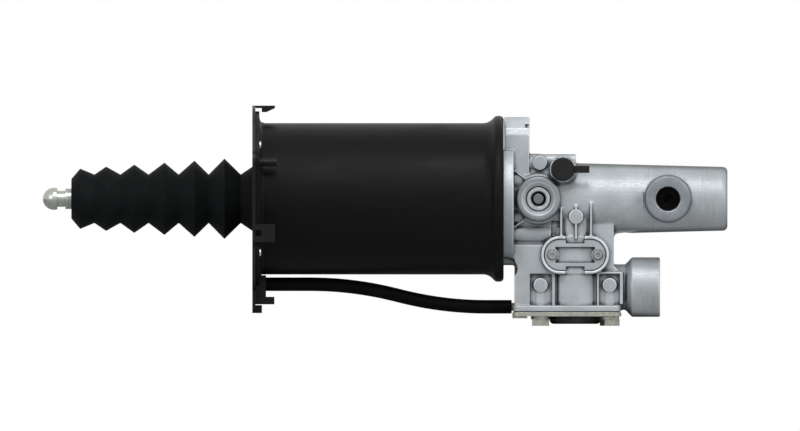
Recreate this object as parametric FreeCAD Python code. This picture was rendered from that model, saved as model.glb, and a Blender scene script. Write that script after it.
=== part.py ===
import FreeCAD, Part
import math
import os

# Clutch servo, in millimetres. The X axis is the cylinder's axis and runs from the push rod to the
# hydraulic end. X = 0 is the face of the steel flange that is bolted to the gearbox. Z is up.

Vector = FreeCAD.Vector
ALONG_X = Vector(1, 0, 0)
TO_FRONT = Vector(0, -1, 0)
DOWN = Vector(0, 0, -1)
CENTRE = Vector(0, 0, 0)

# Fits, as radial clearances
running_fit = 0.04
sliding_gap = 0.3
loose_gap = 0.5
seat_gap = 0.02

# Steel flange, its two ears and its bolts
flange_thickness = 2.8
flange_rim = 8.25
bolt_spacing = 132.0
bolt_hole_r = 5.5
ear_half_height = 31.5
ear_end = 78.0
ear_corner_r = 9.0
weld_leg = 3.4

# Cylinder shell
bore_r = 51.0
shell_wall = 2.0
front_opening_r = 23.8
flare_lead = 3.4
rim_lead = 0.9
rim_length = 6.7
rim_wall = 2.45
rim_round = 2.8
rim_lip = 5.4

# Adapter plate of moulded plastic
adapter_thickness = 2.2
adapter_overhang = 2.2
adapter_opening_r = 24.4
adapter_bolt_clearance_r = 10.5
adapter_foot_half_width = 13.0
hook_reach = 13.7
hook_thickness = 1.8
hook_width = 12.2
hook_grip = 0.6
hook_play = 1.6
hook_window = 4.5
front_hook_z = -24.2
low_hook_step = 0.6
low_hook_height = 5.3
low_hook_reach = 13.3
low_hook_corner = 0.6
peg_r = 2.75
peg_reach = 14.8
peg_height = 25.5
peg_side_gap = 4.2
hose_block_half_width = 7.4
hose_block_reach = 7.4
hose_block_wall = 3.4
hose_shell_gap = 2.0
foot_tab_reach = 4.6
foot_tab_gap = 0.5
foot_tab_height = 5.6
rivet_side_gap = 1.0
rivet_height = 37.5
rivet_head_r = 2.8
rivet_head_height = 1.4
rivet_shank_r = 1.6
rivet_sink = 1.2

# Bellows boot
boot_wall = 2.4
boot_end_length = 3.4
boot_end_r = 13.85
boot_end_x = -128.9
boot_folds = 6
boot_first_crest_x = -122.7
boot_first_crest_r = 21.15
boot_crest_growth = 1.4
boot_crest_pitches = (18.2, 19.7, 21.1, 21.0, 21.0)
boot_valley_offset = 10.0
boot_valley_r = 17.0
boot_last_valley_x = -10.3
boot_base_r = 22.5
boot_bead_r = 27.5
boot_bead_length = 2.4
boot_inner_bead_r = 26.0

# Push rod
rod_r = 7.2
rod_neck_r = 5.65
rod_ball_r = 7.75
rod_ball_x = -141.1
rod_neck_length = 5.6
rod_collar_length = 1.9
rod_groove = 0.3
rod_seat_x = 104.0
rod_seat_r = 9.0
rod_retainer_width = 1.8
rod_retainer_r = 11.0

# Servo piston, its seals and the hydraulic plunger
piston_front_x = 98.0
piston_back_x = 120.0
piston_clearance = 0.3
piston_web_right = 112.0
piston_web = 6.0
piston_skirt = 5.5
piston_hub_r = 22.0
piston_hub_front_x = 90.0
lip_seal_width = 6.0
lip_seal_depth = 4.5
guide_ring_width = 6.0
guide_ring_depth = 2.0
plunger_r = 14.3
plunger_wall = 3.6
plunger_end_x_offset = 113.5
plunger_spigot_r = 10.0
plunger_spigot_length = 5.0
plunger_end_wall = 8.0

# Cast housing: what sits in the cylinder
pilot_length = 10.0
pilot_groove_inset = 3.0
housing_flange_left = 168.0
housing_flange_step = 4.6
disc_step = 3.7
disc_right_offset = 12.8
disc_top = 33.9
seal_bore_r = 18.0
clip_inset = 2.0
clip_width = 1.6
bush_length = 12.0
air_seal_length = 6.5
spacer_length = 5.0
clip_groove = 1.5
seal_bore_right_offset = 24.0
hydraulic_bore_r = 14.8
hydraulic_bore_end_offset = 154.0

# Cast housing: the tail with the hydraulic port
tail_start_r = 26.1
tail_end_x_offset = 162.4
tail_end_r = 22.3
tail_corner_r = 3.3
port_x_offset = 120.8
port_face_y = -32.0
port_boss_r = 15.75
port_boss_draft = 1.45
port_boss_edge = 0.5
port_boss_chamfer = 1.2
port_face_inset = 0.7
port_hole_r = 8.65
port_hole_depth = 12.8
port_seal_r = 7.6
port_seal_depth = 2.2
port_drill_r = 3.0
port_key_depth = 1.4
port_key_half_width = 1.5
port_clip_height = 10.0
port_clip_inset = 4.0
port_clip_lip = 3.2
port_clip_gap = 0.1
port_clip_side_gap = 0.15
port_clip_thickness = 1.2

# Cast housing: upper block, lug and bosses
block_right_offset = 56.4
block_top = 31.2
block_half_depth = 17.0
block_round = 4.0
lug_left_gap = 0.4
lug_right_offset = 23.8
lug_top = 57.2
lug_half_depth = 19.5
lug_side_drop = 12.5
lug_corner_drop = 7.8
lug_corner_in = 1.5
lug_top_in = 8.0
boss_x_offset = 30.1
boss_face_y = -31.0
boss_r = 15.5
boss_draft = 0.9
boss_base_r = 17.8
boss_base_y = -22.5
boss_base_round = 1.8
boss_root_round = 1.0
boss_chamfer = 0.8
dish_r = 11.5
dish_depth = 2.6
plug_bore_r = 8.8
plug_bore_depth = 10.5
plug_sleeve_length = 8.0
plug_hole_r = 4.9
plug_pin_r = 3.75
plug_pin_length = 6.4
plug_floor = 1.5
plug_chamfer = 0.9
plug_drill_r = 2.5
bleed_thread_depth = 13.0
bleed_drill_r = 1.5
bleed_drill_end_y = -9.0
bleed_drill_end_z = 8.0
bleed_x_offset = 47.1
bleed_z = 20.6
bleed_boss_r = 9.25
bleed_face_y = -27.0
bleed_thread_r = 3.6
bleed_nipple_r = 3.4
bleed_nipple_length = 8.6
cap_r = 7.9
cap_length = 10.6
cap_wall = 1.8
cap_tab_length = 18.7
cap_tab_height = 5.0
upper_duct_z = 25.1
upper_duct_r = 6.5
upper_duct_right_offset = 30.8
lower_duct_z = -24.6
lower_duct_r = 7.6
lower_duct_right_offset = 39.0
duct_y = -12.0
duct_drill_r = 3.2
duct_down_r = 2.8
duct_cross_r = 2.6
relay_drill_r = 1.5
breather_drill_r = 1.5
pad_r = 5.1
pad_face_y = -25.4
pad_stand = 0.6
pad_rise = 1.4
pad_back_y = -8.0
upper_pad_stand = 0.8
middle_pad_x = 0.6
middle_pad_z = -12.5
rib_thickness = 1.6
rib_places = ((-9.7, -6.4), (0.6, -4.3), (11.2, -2.2))

# Cast housing: the relay valve's block, its foot and the air port
relay_x_offset = 55.8
block_left_offset = 13.3
leg_right_offset = 82.9
lower_right_offset = 89.2
core_half_depth = 17.5
panel_y = -21.5
recess_top = -52.6
leg_drop = 5.5
core_round = 2.0
leg_round = 2.5
web_round = 3.5
web_rise = 1.4
panel_top = -32.0
panel_left_gap = 14.0
panel_right_gap = 15.2
panel_step = 1.6
back_panel_drop = 18.0
valve_tower_r = 22.0
foot_left_offset = 12.1
foot_right_offset = 87.8
foot_half_depth = 24.0
foot_corner = 5.0
foot_top = -74.7
foot_face = -79.0
column_r = 6.0
recess_left_out = 7.6
recess_right_out = 7.2
recess_left_in = 16.3
recess_right_in = 16.6
cover_bolt_x = 24.2
cover_bolt_y = 13.0
air_port_z = -61.8
air_port_neck_r = 16.0
air_port_r = 20.9
air_port_shoulder_offset = 95.5
air_port_face_offset = 115.2
air_port_cone = 4.6
air_neck_start = 14.0
air_shoulder_round = 1.0
air_face_round = 0.8
air_cross_r = 6.0
air_thread_lead = 1.6
air_lead_step = 1.0
air_thread_r = 10.19
air_thread_depth = 18.0

pocket_gap = 0.4
pocket_length = 8.2
pocket_inner = 6.5
pocket_middle = 13.0
pocket_outer = 19.5
pocket_floor_y = -20.5
gusset_high = 21.5
gusset_low = 15.4
gusset_length = 7.6
gusset_width = 1.5
gusset_y = -21.5
low_pocket_floor_y = -16.8
low_pocket_top = -15.5
low_pocket_right = 10.5
low_pocket_gap = 0.3
lens_x = 6.2
lens_z = -49.0
lens_r = 8.2
lens_floor_y = -10.0
notch_r = 1.8
notch_drop = 6.2
notch_inset = 3.6
notch_length = 3.0
web_half_depth = 9.0
web_overlap = 20.0
web_reach = 16.0
outside_y = -40.0

# Side plate on the relay valve's block
plate_z = -39.3
plate_length = 42.4
plate_height = 21.2
plate_thickness = 2.0
plate_rim = 2.7
plate_gap = 0.6
plate_rim_y = -25.8
plate_seat_y = -22.6
window_floor_y = -20.6
plate_notch_width = 13.2
plate_notch_depth = 2.6
plate_window_length = 27.7
plate_window_height = 11.3
window_margin = 1.0
window_round = 3.0
plate_screw_x = 15.9
plate_screw_head_r = 3.1
plate_screw_head_height = 1.8
plate_screw_boss = 1.4
plate_socket_width = 3.0
plate_socket_depth = 1.0
plate_screw_r = 2.0
plate_screw_length = 9.0

# Relay valve, from the hydraulic bore down
stem_bore_r = 7.05
stem_bore_top = -18.5
relay_bore_r = 12.6
relay_bore_top = -33.0
relay_bore_floor = -53.0
seat_hole_r = 6.2
seat_face = -56.0
valve_opening_gap = 1.55
relay_stem_top = -20.5
relay_disc_top = -36.5
relay_disc_bottom = -42.5
relay_nose_r = 4.4
valve_bore_r = 2.3
valve_disc_r = 8.2
valve_disc_thickness = 3.0
valve_tube_r = 4.0
valve_tube_end = -75.4
insert_top = -66.0
insert_flange_top = -72.0
insert_flange_bottom = -75.0
insert_flange_r = 15.8
insert_skirt = 2.4
ring_groove_width = 2.4
ring_groove_depth = 1.6

# Foot cover, its bolts and the vent cap
gasket_thickness = 0.5
cover_thickness = 2.8
cover_pad_height = 2.1
cover_pad_r = 6.8
cover_vent_r = 9.5
cover_heel_length = 15.5
cover_heel_height = 1.4
cover_overhang = 0.3
bolt_r = 4.0
bolt_head_width = 12.0
bolt_right_turn = 30.0
bolt_head_height = 4.5
bolt_thread_length = 13.0
vent_cap_r = 18.0
vent_cap_height = 5.3
vent_cap_round = 3.0
vent_stem_r = 4.0

# Breather hose and its two nipples
hose_r = 4.8
hose_bore_r = 2.9
hose_end_z = -75.6
hose_end_gap = 0.7
hose_first_run = 60.6
hose_last_run = 47.4
nipple_r = 2.8
nipple_bore_r = 1.5
nipple_reach = 12.0
nipple_seat_depth = 7.0

# Coil springs: wire radius, mean radius at each end and turns
preload_wire_r = 2.0
preload_r_small = 24.5
preload_r_large = 36.0
preload_turns = 3.5
relay_spring_wire_r = 0.8
relay_spring_turns = 3.0
valve_spring_wire_r = 0.6
valve_spring_turns = 3.0

# Places along X that follow the left face of the housing's flange
disc_right = housing_flange_left + disc_right_offset
seal_bore_right = housing_flange_left + seal_bore_right_offset
hydraulic_bore_end = housing_flange_left + hydraulic_bore_end_offset
tail_end_x = housing_flange_left + tail_end_x_offset
port_x = housing_flange_left + port_x_offset
block_right = housing_flange_left + block_right_offset
lug_right = housing_flange_left + lug_right_offset
boss_x = housing_flange_left + boss_x_offset
bleed_x = housing_flange_left + bleed_x_offset
upper_duct_right = housing_flange_left + upper_duct_right_offset
lower_duct_right = housing_flange_left + lower_duct_right_offset
relay_x = housing_flange_left + relay_x_offset
block_left = housing_flange_left + block_left_offset
leg_right = housing_flange_left + leg_right_offset
lower_right = housing_flange_left + lower_right_offset
foot_left = housing_flange_left + foot_left_offset
foot_right = housing_flange_left + foot_right_offset
air_port_shoulder = housing_flange_left + air_port_shoulder_offset
air_port_face = housing_flange_left + air_port_face_offset
plunger_end_x = housing_flange_left + plunger_end_x_offset
pilot_left = housing_flange_left - pilot_length
flare_start = housing_flange_left - flare_lead
rim_left = housing_flange_left - rim_lead
rim_right = rim_left + rim_length
hose_end_x = foot_left - hose_end_gap
hose_first_bend_x = hose_block_reach + hose_first_run
hose_second_bend_x = hose_end_x - hose_last_run

# Radii and places that follow the shell's bore
shell_outer_r = bore_r + shell_wall
flange_radius = shell_outer_r + flange_rim
peg_side = shell_outer_r + peg_side_gap
rivet_side = shell_outer_r + rivet_side_gap
housing_flange_r = bore_r + housing_flange_step
rim_r = housing_flange_r + rim_wall
rim_lip_r = housing_flange_r - rim_lip
disc_r = rim_lip_r - disc_step

# Heights below the axis that follow the shell's bore
hose_start_z = -(shell_outer_r + hose_shell_gap + hose_r)
hose_block_bottom = hose_start_z - hose_r - hose_block_wall
low_hook_top = hose_block_bottom - low_hook_step
low_hook_bottom = low_hook_top - low_hook_height
foot_tab_top = low_hook_bottom - foot_tab_gap
adapter_foot_z = foot_tab_top - foot_tab_height


def block(x0, x1, y0, y1, z0, z1):
    """Box between two corners."""
    return Part.makeBox(x1 - x0, y1 - y0, z1 - z0, Vector(x0, y0, z0))


def rod(start, end, radius):
    """Round bar from one point to another."""
    way = end - start
    return Part.makeCylinder(radius, way.Length, start, way)


def rounded_wire(corners, at):
    """Closed outline through corners (a, b) or (a, b, radius), placed in space by at(a, b)."""
    flat = [Vector(c[0], c[1], 0) for c in corners]
    radii = [c[2] if len(c) > 2 else 0 for c in corners]
    ends = []
    for i, corner in enumerate(flat):
        back = (flat[i - 1] - corner).normalize()
        ahead = (flat[(i + 1) % len(flat)] - corner).normalize()
        if not radii[i]:
            ends.append((corner, None, corner))
            continue
        half = back.getAngle(ahead) / 2
        reach = radii[i] / math.tan(half)
        inward = (back + ahead).normalize()
        middle = corner + inward * (radii[i] / math.sin(half) - radii[i])
        ends.append((corner + back * reach, middle, corner + ahead * reach))
    edges = []
    for i, (start, middle, end) in enumerate(ends):
        if middle:
            edges.append(Part.Arc(at(start), at(middle), at(end)).toShape())
        following = ends[(i + 1) % len(ends)][0]
        if end.distanceToPoint(following) > 1e-6:
            edges.append(Part.makeLine(at(end), at(following)))
    return Part.Wire(edges)


def turned(corners, base=CENTRE, axis=ALONG_X):
    """Solid of revolution. Its corners are (distance along the axis, radius)."""
    wire = rounded_wire(corners, lambda p: Vector(p.x, 0, p.y))
    solid = Part.Face(wire).revolve(CENTRE, ALONG_X, 360)
    solid.Placement = FreeCAD.Placement(base, FreeCAD.Rotation(ALONG_X, axis))
    return solid


def slab_y(corners, y0, y1):
    """Outline of (x, z) corners, extruded from y0 to y1."""
    wire = rounded_wire(corners, lambda p: Vector(p.x, y0, p.y))
    return Part.Face(wire).extrude(Vector(0, y1 - y0, 0))


def slab_x(corners, x0, x1):
    """Outline of (y, z) corners, extruded from x0 to x1."""
    wire = rounded_wire(corners, lambda p: Vector(x0, p.x, p.y))
    return Part.Face(wire).extrude(Vector(x1 - x0, 0, 0))


def slab_z(corners, z0, z1):
    """Outline of (x, y) corners, extruded from z0 to z1."""
    wire = rounded_wire(corners, lambda p: Vector(p.x, p.y, z0))
    return Part.Face(wire).extrude(Vector(0, 0, z1 - z0))


def rectangle(a0, a1, b0, b1, radius=0):
    """Corners of a rectangle whose four corners may be rounded."""
    return [(a, b, radius) for a, b in ((a0, b0), (a1, b0), (a1, b1), (a0, b1))]


def ring(x0, x1, inner, outer, base=CENTRE, axis=ALONG_X):
    """Plain ring round an axis."""
    return turned([(x0, inner), (x1, inner), (x1, outer), (x0, outer)], base, axis)


def fused(shapes):
    """One solid from shapes that meet, without the seams between them."""
    whole = shapes[0].multiFuse(shapes[1:]).removeSplitter()
    return whole.Solids[0] if len(whole.Solids) == 1 else whole


def coil(r_start, r_end, wire_r, turns, length, base, axis):
    """Compression spring of round wire that begins at base and runs along axis."""
    pitch = (length - 2 * wire_r) / turns
    cone = math.degrees(math.atan2(r_end - r_start, length - 2 * wire_r))
    helix = Part.makeLongHelix(pitch, length - 2 * wire_r, r_start, cone)
    circle = Part.Wire(Part.makeCircle(wire_r, Vector(r_start, 0, 0), Vector(0, 1, 0)))
    solid = Part.Wire(helix.Edges).makePipeShell([circle], True, False)
    solid.translate(Vector(0, 0, wire_r))
    solid.Placement = FreeCAD.Placement(base, FreeCAD.Rotation(Vector(0, 0, 1), axis)) * solid.Placement
    return solid


# Flange, shell and adapter plate

def two_eared_plate(ear_end_y, half_height, round_r, x0, x1):
    """Round plate with a straight-ended ear on each side, whose slopes run tangent to the round part."""
    corner_angle = math.atan2(half_height, ear_end_y)
    corner_distance = math.hypot(half_height, ear_end_y)
    slope = corner_angle + math.acos(round_r / corner_distance)
    touch_y = round_r * math.cos(slope)
    touch_z = round_r * math.sin(slope)
    corners = []
    for side, up in ((-1, -1), (-1, 1), (1, 1), (1, -1)):
        ear_corner = (side * ear_end_y, up * half_height, ear_corner_r)
        tangent = (side * touch_y, up * touch_z)
        corners.extend([tangent, ear_corner] if side == up else [ear_corner, tangent])
    hexagon = slab_x(corners, x0, x1)
    return fused([hexagon, rod(Vector(x0, 0, 0), Vector(x1, 0, 0), round_r)])


def flange_bolt_holes(x0, x1, radius):
    """Two holes on a line through the cylinder's axis."""
    places = (-bolt_spacing / 2, bolt_spacing / 2)
    return [rod(Vector(x0, y, 0), Vector(x1, y, 0), radius) for y in places]


def rivet_places():
    """Centres of the four rivets, as (y, z)."""
    return [(side * rivet_side, up * rivet_height) for side in (-1, 1) for up in (-1, 1)]


def mounting_flange():
    """Stamped steel flange with the weld that joins it to the shell."""
    plate = two_eared_plate(ear_end, ear_half_height, flange_radius, 0, flange_thickness)
    weld_r = shell_outer_r + seat_gap
    root = flange_thickness - 1
    weld = turned([
        (root, weld_r),
        (flange_thickness + weld_leg, weld_r),
        (flange_thickness + weld_leg, weld_r + 0.3),
        (flange_thickness + 0.3, weld_r + 0.3, weld_leg - 0.6),
        (flange_thickness + 0.3, weld_r + weld_leg),
        (root, weld_r + weld_leg),
    ])
    cuts = flange_bolt_holes(-1, flange_thickness + 1, bolt_hole_r)
    cuts.append(rod(Vector(-1, 0, 0), Vector(flange_thickness, 0, 0), boot_bead_r + loose_gap))
    for y, z in rivet_places():
        cuts.append(rod(Vector(-1, y, z), Vector(flange_thickness + 1, y, z), rivet_shank_r + seat_gap))
    peg_hole = Vector(-1, -peg_side, peg_height)
    cuts.append(rod(peg_hole, peg_hole + ALONG_X * (flange_thickness + 2), peg_r + sliding_gap))
    notch = hose_block_half_width + loose_gap
    notch_top = -shell_outer_r
    cuts.append(block(-1, hose_block_reach, -notch, notch, -2 * flange_radius, notch_top))
    return fused([plate, weld]).cut(cuts)


def cylinder_shell():
    """Deep-drawn cup whose open end flares out and is rolled in over the housing."""
    left = flange_thickness
    outer = shell_outer_r
    flare_r = rim_r - shell_wall
    return turned([
        (left, front_opening_r),
        (left, outer),
        (flare_start - 1.5, outer, 9.0),
        (rim_left + 1.0, rim_r, rim_round),
        (rim_right, rim_r, rim_round),
        (rim_right, rim_lip_r),
        (rim_right - shell_wall, rim_lip_r),
        (rim_right - shell_wall, flare_r),
        (housing_flange_left, flare_r),
        (flare_start + 0.6, bore_r),
        (left + shell_wall, bore_r),
        (left + shell_wall, front_opening_r),
    ])


def snap_hook(edge, turn, shift_z):
    """Snap hook that reaches over a plate edge at the given distance, turned about the X axis."""
    left = -adapter_thickness
    under = edge + adapter_overhang
    outside = under + hook_thickness
    barb = flange_thickness + hook_play
    profile = [
        (left, under - hook_thickness),
        (0, under - hook_thickness),
        (0, under),
        (barb, under),
        (barb, edge - hook_grip),
        (barb + 3.3, edge - hook_grip),
        (hook_reach, under),
        (hook_reach, outside),
        (left, outside),
    ]
    hook = slab_y(profile, -hook_width / 2, hook_width / 2)
    half = hook_window / 2
    hook = hook.cut(block(0, barb, -half, half, under - 1, outside + 1))
    hook.rotate(CENTRE, ALONG_X, turn)
    hook.translate(Vector(0, 0, shift_z))
    return hook


def adapter_plate():
    """Moulded plate on the flange's face, with its snap hooks, peg and hose spigot."""
    left = -adapter_thickness
    edge = flange_radius + adapter_overhang + hook_thickness
    ear_edge = ear_end + adapter_overhang + hook_thickness
    plate = two_eared_plate(ear_edge, ear_half_height, edge, left, 0)
    foot = adapter_foot_half_width
    low_half = hook_width / 2
    low_hook = [
        (left, low_hook_top),
        (low_hook_reach, low_hook_top, low_hook_corner),
        (low_hook_reach, low_hook_bottom, low_hook_corner),
        (left, low_hook_bottom),
    ]
    tab_half = low_half - 1.5
    adds = [
        plate,
        slab_x(rectangle(-foot, foot, adapter_foot_z, -flange_radius + 5, 3.0), left, 0),
        snap_hook(flange_radius, 0, 0),
        snap_hook(ear_end, 90, front_hook_z),
        snap_hook(ear_end, -90, front_hook_z),
        rod(Vector(-1, -peg_side, peg_height), Vector(peg_reach, -peg_side, peg_height), peg_r),
        block(left, hose_block_reach, -hose_block_half_width, hose_block_half_width,
              hose_block_bottom, -shell_outer_r - loose_gap),
        block(left, hose_block_reach, -low_half, low_half, low_hook_bottom, hose_block_bottom),
        slab_y(low_hook, -low_half, low_half),
        block(left, foot_tab_reach, -tab_half, tab_half, adapter_foot_z, foot_tab_top),
    ]
    spigot_bore = Vector(left - 1, 0, hose_start_z)
    cuts = flange_bolt_holes(left - 1, 1, adapter_bolt_clearance_r)
    cuts.append(rod(Vector(left - 1, 0, 0), Vector(1, 0, 0), adapter_opening_r))
    cuts.append(rod(spigot_bore, spigot_bore + ALONG_X * 30, nipple_bore_r))
    seat_start = hose_block_reach - nipple_seat_depth
    nipple_seat = Vector(seat_start, 0, hose_start_z)
    nipple_exit = Vector(hose_block_reach + 1, 0, hose_start_z)
    cuts.append(rod(nipple_seat, nipple_exit, nipple_r + seat_gap))
    for y, z in rivet_places():
        cuts.append(turned([
            (left, 0),
            (left, rivet_head_r + seat_gap),
            (left + rivet_sink, rivet_shank_r + seat_gap),
            (1, rivet_shank_r + seat_gap),
            (1, 0),
        ], Vector(0, y, z)))
    return fused(adds).cut(cuts)


def adapter_rivets():
    """Four rivets that hold the plate on the flange, sunk in front and domed behind."""
    left = -adapter_thickness
    right = flange_thickness
    rivets = []
    for y, z in rivet_places():
        rivets.append(turned([
            (left, 0),
            (left, rivet_head_r),
            (left + rivet_sink, rivet_shank_r),
            (right, rivet_shank_r),
            (right, rivet_head_r),
            (right + rivet_head_height, rivet_head_r, rivet_head_height * 0.9),
            (right + rivet_head_height, 0),
        ], Vector(0, y, z)))
    return Part.makeCompound(rivets)


# Boot and push rod

def boot_outline():
    """Crests and valleys from the rod's end to the flange, as (x, r)."""
    points = []
    x = boot_first_crest_x
    for fold in range(boot_folds):
        points.append((x, boot_first_crest_r + fold * boot_crest_growth))
        if fold < boot_folds - 1:
            points.append((x + boot_valley_offset, boot_valley_r))
            x += boot_crest_pitches[fold]
    points.append((boot_last_valley_x, boot_valley_r))
    return points


def boot():
    """Rubber bellows between the shell's front opening and the push rod."""
    wall_left = flange_thickness
    wall_right = flange_thickness + shell_wall
    folds = boot_outline()
    bead_left = wall_left - boot_bead_length
    bead_right = wall_right + boot_bead_length
    outside = [(boot_end_x, rod_r + running_fit), (boot_end_x, boot_end_r)] + folds + [
        (-adapter_thickness, boot_base_r),
        (bead_left, boot_base_r),
        (bead_left, boot_bead_r),
        (wall_left, boot_bead_r),
        (wall_left, front_opening_r - seat_gap),
        (wall_right, front_opening_r - seat_gap),
        (wall_right, boot_inner_bead_r),
        (bead_right, boot_inner_bead_r),
        (bead_right, boot_base_r - boot_wall),
    ]
    inside = [(-adapter_thickness, boot_base_r - boot_wall)]
    inside += [(x, r - boot_wall) for x, r in reversed(folds)]
    lip_x = boot_end_x + boot_end_length
    inside += [(lip_x, rod_r + 2), (lip_x, rod_r + running_fit)]
    return turned(outside + inside)


def push_rod():
    """Rod with a ball at each end: one for the clutch lever and one in the servo piston."""
    step = rod_ball_x + math.sqrt(rod_ball_r ** 2 - 7.35 ** 2)
    neck_end = step + rod_neck_length
    first_collar = neck_end + rod_collar_length
    second_collar = first_collar + rod_groove
    shaft = turned([
        (rod_ball_x, 0),
        (rod_ball_x, rod_neck_r),
        (neck_end, rod_neck_r),
        (neck_end, rod_r),
        (first_collar, rod_r),
        (first_collar, rod_r - rod_groove),
        (second_collar, rod_r - rod_groove),
        (second_collar, rod_r),
        (rod_seat_x, rod_r),
        (rod_seat_x, 0),
    ])
    lever_ball = Part.makeSphere(rod_ball_r, Vector(rod_ball_x, 0, 0))
    lever_ball = lever_ball.cut(rod(Vector(step, 0, 0), Vector(step + rod_ball_r, 0, 0), rod_ball_r))
    seat_ball = Part.makeSphere(rod_seat_r, Vector(rod_seat_x, 0, 0))
    return fused([shaft, lever_ball, seat_ball])


def rod_retainer():
    """Snap ring in the piston's hub, behind the push rod's ball."""
    right = rod_seat_x - 4.0
    return ring(right - rod_retainer_width, right, 8.2, rod_retainer_r - seat_gap)


# Servo piston and plunger

def piston_grooves():
    """Left edges of the guide ring's and the lip seal's grooves."""
    guide = piston_front_x + 2.0
    seal = guide + guide_ring_width + 3.0
    return guide, seal


def servo_piston():
    """Die-cast piston: a hub with the rod's socket, a web and a grooved skirt."""
    outer = bore_r - piston_clearance
    web_left = piston_web_right - piston_web
    skirt_r = outer - piston_skirt - lip_seal_depth
    guide, seal = piston_grooves()
    body = turned([
        (piston_hub_front_x, 0),
        (piston_hub_front_x, piston_hub_r - 4),
        (web_left, piston_hub_r),
        (web_left, skirt_r),
        (piston_front_x, skirt_r),
        (piston_front_x, outer),
        (guide, outer),
        (guide, outer - guide_ring_depth),
        (guide + guide_ring_width, outer - guide_ring_depth),
        (guide + guide_ring_width, outer),
        (seal, outer),
        (seal, outer - lip_seal_depth),
        (seal + lip_seal_width, outer - lip_seal_depth),
        (seal + lip_seal_width, outer),
        (piston_back_x, outer),
        (piston_back_x, skirt_r),
        (piston_web_right, skirt_r),
        (piston_web_right, piston_hub_r),
        (piston_back_x, piston_hub_r - 2),
        (piston_back_x, 0),
    ])
    socket_r = rod_seat_r + running_fit
    groove_right = rod_seat_x - 4.0 + seat_gap
    cuts = [
        Part.makeSphere(socket_r, Vector(rod_seat_x, 0, 0)),
        rod(Vector(piston_hub_front_x - 1, 0, 0), Vector(rod_seat_x, 0, 0), socket_r),
        rod(Vector(groove_right - rod_retainer_width - 2 * seat_gap, 0, 0), Vector(groove_right, 0, 0),
            rod_retainer_r),
        rod(Vector(piston_back_x - plunger_spigot_length - loose_gap, 0, 0), Vector(piston_back_x, 0, 0),
            plunger_spigot_r + seat_gap),
    ]
    return body.cut(cuts)


def piston_seal():
    """Lip seal that runs on the shell's bore, open towards the air side."""
    left = piston_grooves()[1] + seat_gap
    right = left + lip_seal_width - 2 * seat_gap
    inner = bore_r - piston_clearance - lip_seal_depth + seat_gap
    outer = bore_r - running_fit
    return turned([
        (left, inner),
        (left, outer - 0.8),
        (right, outer),
        (right, outer - 1.4),
        (left + 2.2, (inner + outer) / 2),
        (right, inner + 1.4),
        (right, inner),
    ])


def guide_ring():
    """Bearing band of the piston."""
    left = piston_grooves()[0] + seat_gap
    outer = bore_r - running_fit
    return ring(left, left + guide_ring_width - 2 * seat_gap,
                bore_r - piston_clearance - guide_ring_depth + seat_gap, outer)


def hydraulic_plunger():
    """Ground steel tube, closed at its hydraulic end, that pushes the servo piston."""
    left = piston_back_x
    bore = plunger_r - plunger_wall
    return turned([
        (left - plunger_spigot_length, 5.0),
        (left - plunger_spigot_length, plunger_spigot_r),
        (left, plunger_spigot_r),
        (left, plunger_r),
        (plunger_end_x, plunger_r, 1.5),
        (plunger_end_x, 0),
        (plunger_end_x - plunger_end_wall, 0),
        (plunger_end_x - plunger_end_wall, bore),
        (left + 3.0, bore),
        (left + 3.0, 5.0),
    ])


def preload_spring():
    """Conical spring that keeps the push rod against the clutch lever."""
    start = Vector(piston_web_right + seat_gap, 0, 0)
    length = pilot_left - piston_web_right - 2 * seat_gap
    return coil(preload_r_small, preload_r_large, preload_wire_r, preload_turns, length, start, ALONG_X)


# Seals and bush of the plunger, in the housing's left bore

def plunger_stack():
    """Edges along X of the retaining ring, bush, air seal, spacer and cup, from left to right."""
    clip_left = pilot_left + clip_inset
    bush_left = clip_left + clip_width
    air_left = bush_left + bush_length
    spacer_left = air_left + air_seal_length
    cup_left = spacer_left + spacer_length
    return clip_left, bush_left, air_left, spacer_left, cup_left


def plunger_clip():
    """Retaining ring that holds the plunger's bush and seals."""
    left, right = plunger_stack()[:2]
    return ring(left + seat_gap, right - seat_gap, plunger_r + 1.2, seal_bore_r + clip_groove - seat_gap)


def plunger_bush():
    """Bearing bush of the plunger."""
    left, right = plunger_stack()[1:3]
    return ring(left + seat_gap, right - seat_gap, plunger_r + running_fit, seal_bore_r - seat_gap)


def plunger_air_seal():
    """Lip seal against the cylinder's air."""
    left, right = plunger_stack()[2:4]
    left += seat_gap
    right -= seat_gap
    inner = plunger_r + running_fit
    outer = seal_bore_r - seat_gap
    return turned([
        (left, inner), (left, inner + 1.0), (left + 2.4, (inner + outer) / 2), (left, outer - 1.0),
        (left, outer), (right, outer), (right, inner + 0.4),
    ])


def plunger_spacer():
    """Ring between the two seals."""
    left, right = plunger_stack()[3:5]
    return ring(left + seat_gap, right - seat_gap, plunger_r + sliding_gap, seal_bore_r - seat_gap)


def plunger_cup():
    """Hydraulic cup seal."""
    left = plunger_stack()[4] + seat_gap
    right = seal_bore_right - seat_gap
    inner = plunger_r + running_fit
    outer = seal_bore_r - seat_gap
    return turned([
        (left, inner + 0.4), (left, outer), (right, outer), (right, outer - 1.0),
        (left + 2.4, (inner + outer) / 2), (right, inner + 1.0), (right, inner),
    ])


def housing_seal():
    """Square ring between the housing's pilot and the shell."""
    left = pilot_left + pilot_groove_inset + seat_gap
    outer = bore_r - seat_gap
    return ring(left, left + ring_groove_width - 2 * seat_gap, outer - ring_groove_depth, outer)


# Cast housing

def tail_r(x):
    """Radius of the tapered tail at x."""
    share = (x - disc_right) / (tail_end_x - disc_right)
    return tail_start_r + (tail_end_r - tail_start_r) * share


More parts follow.
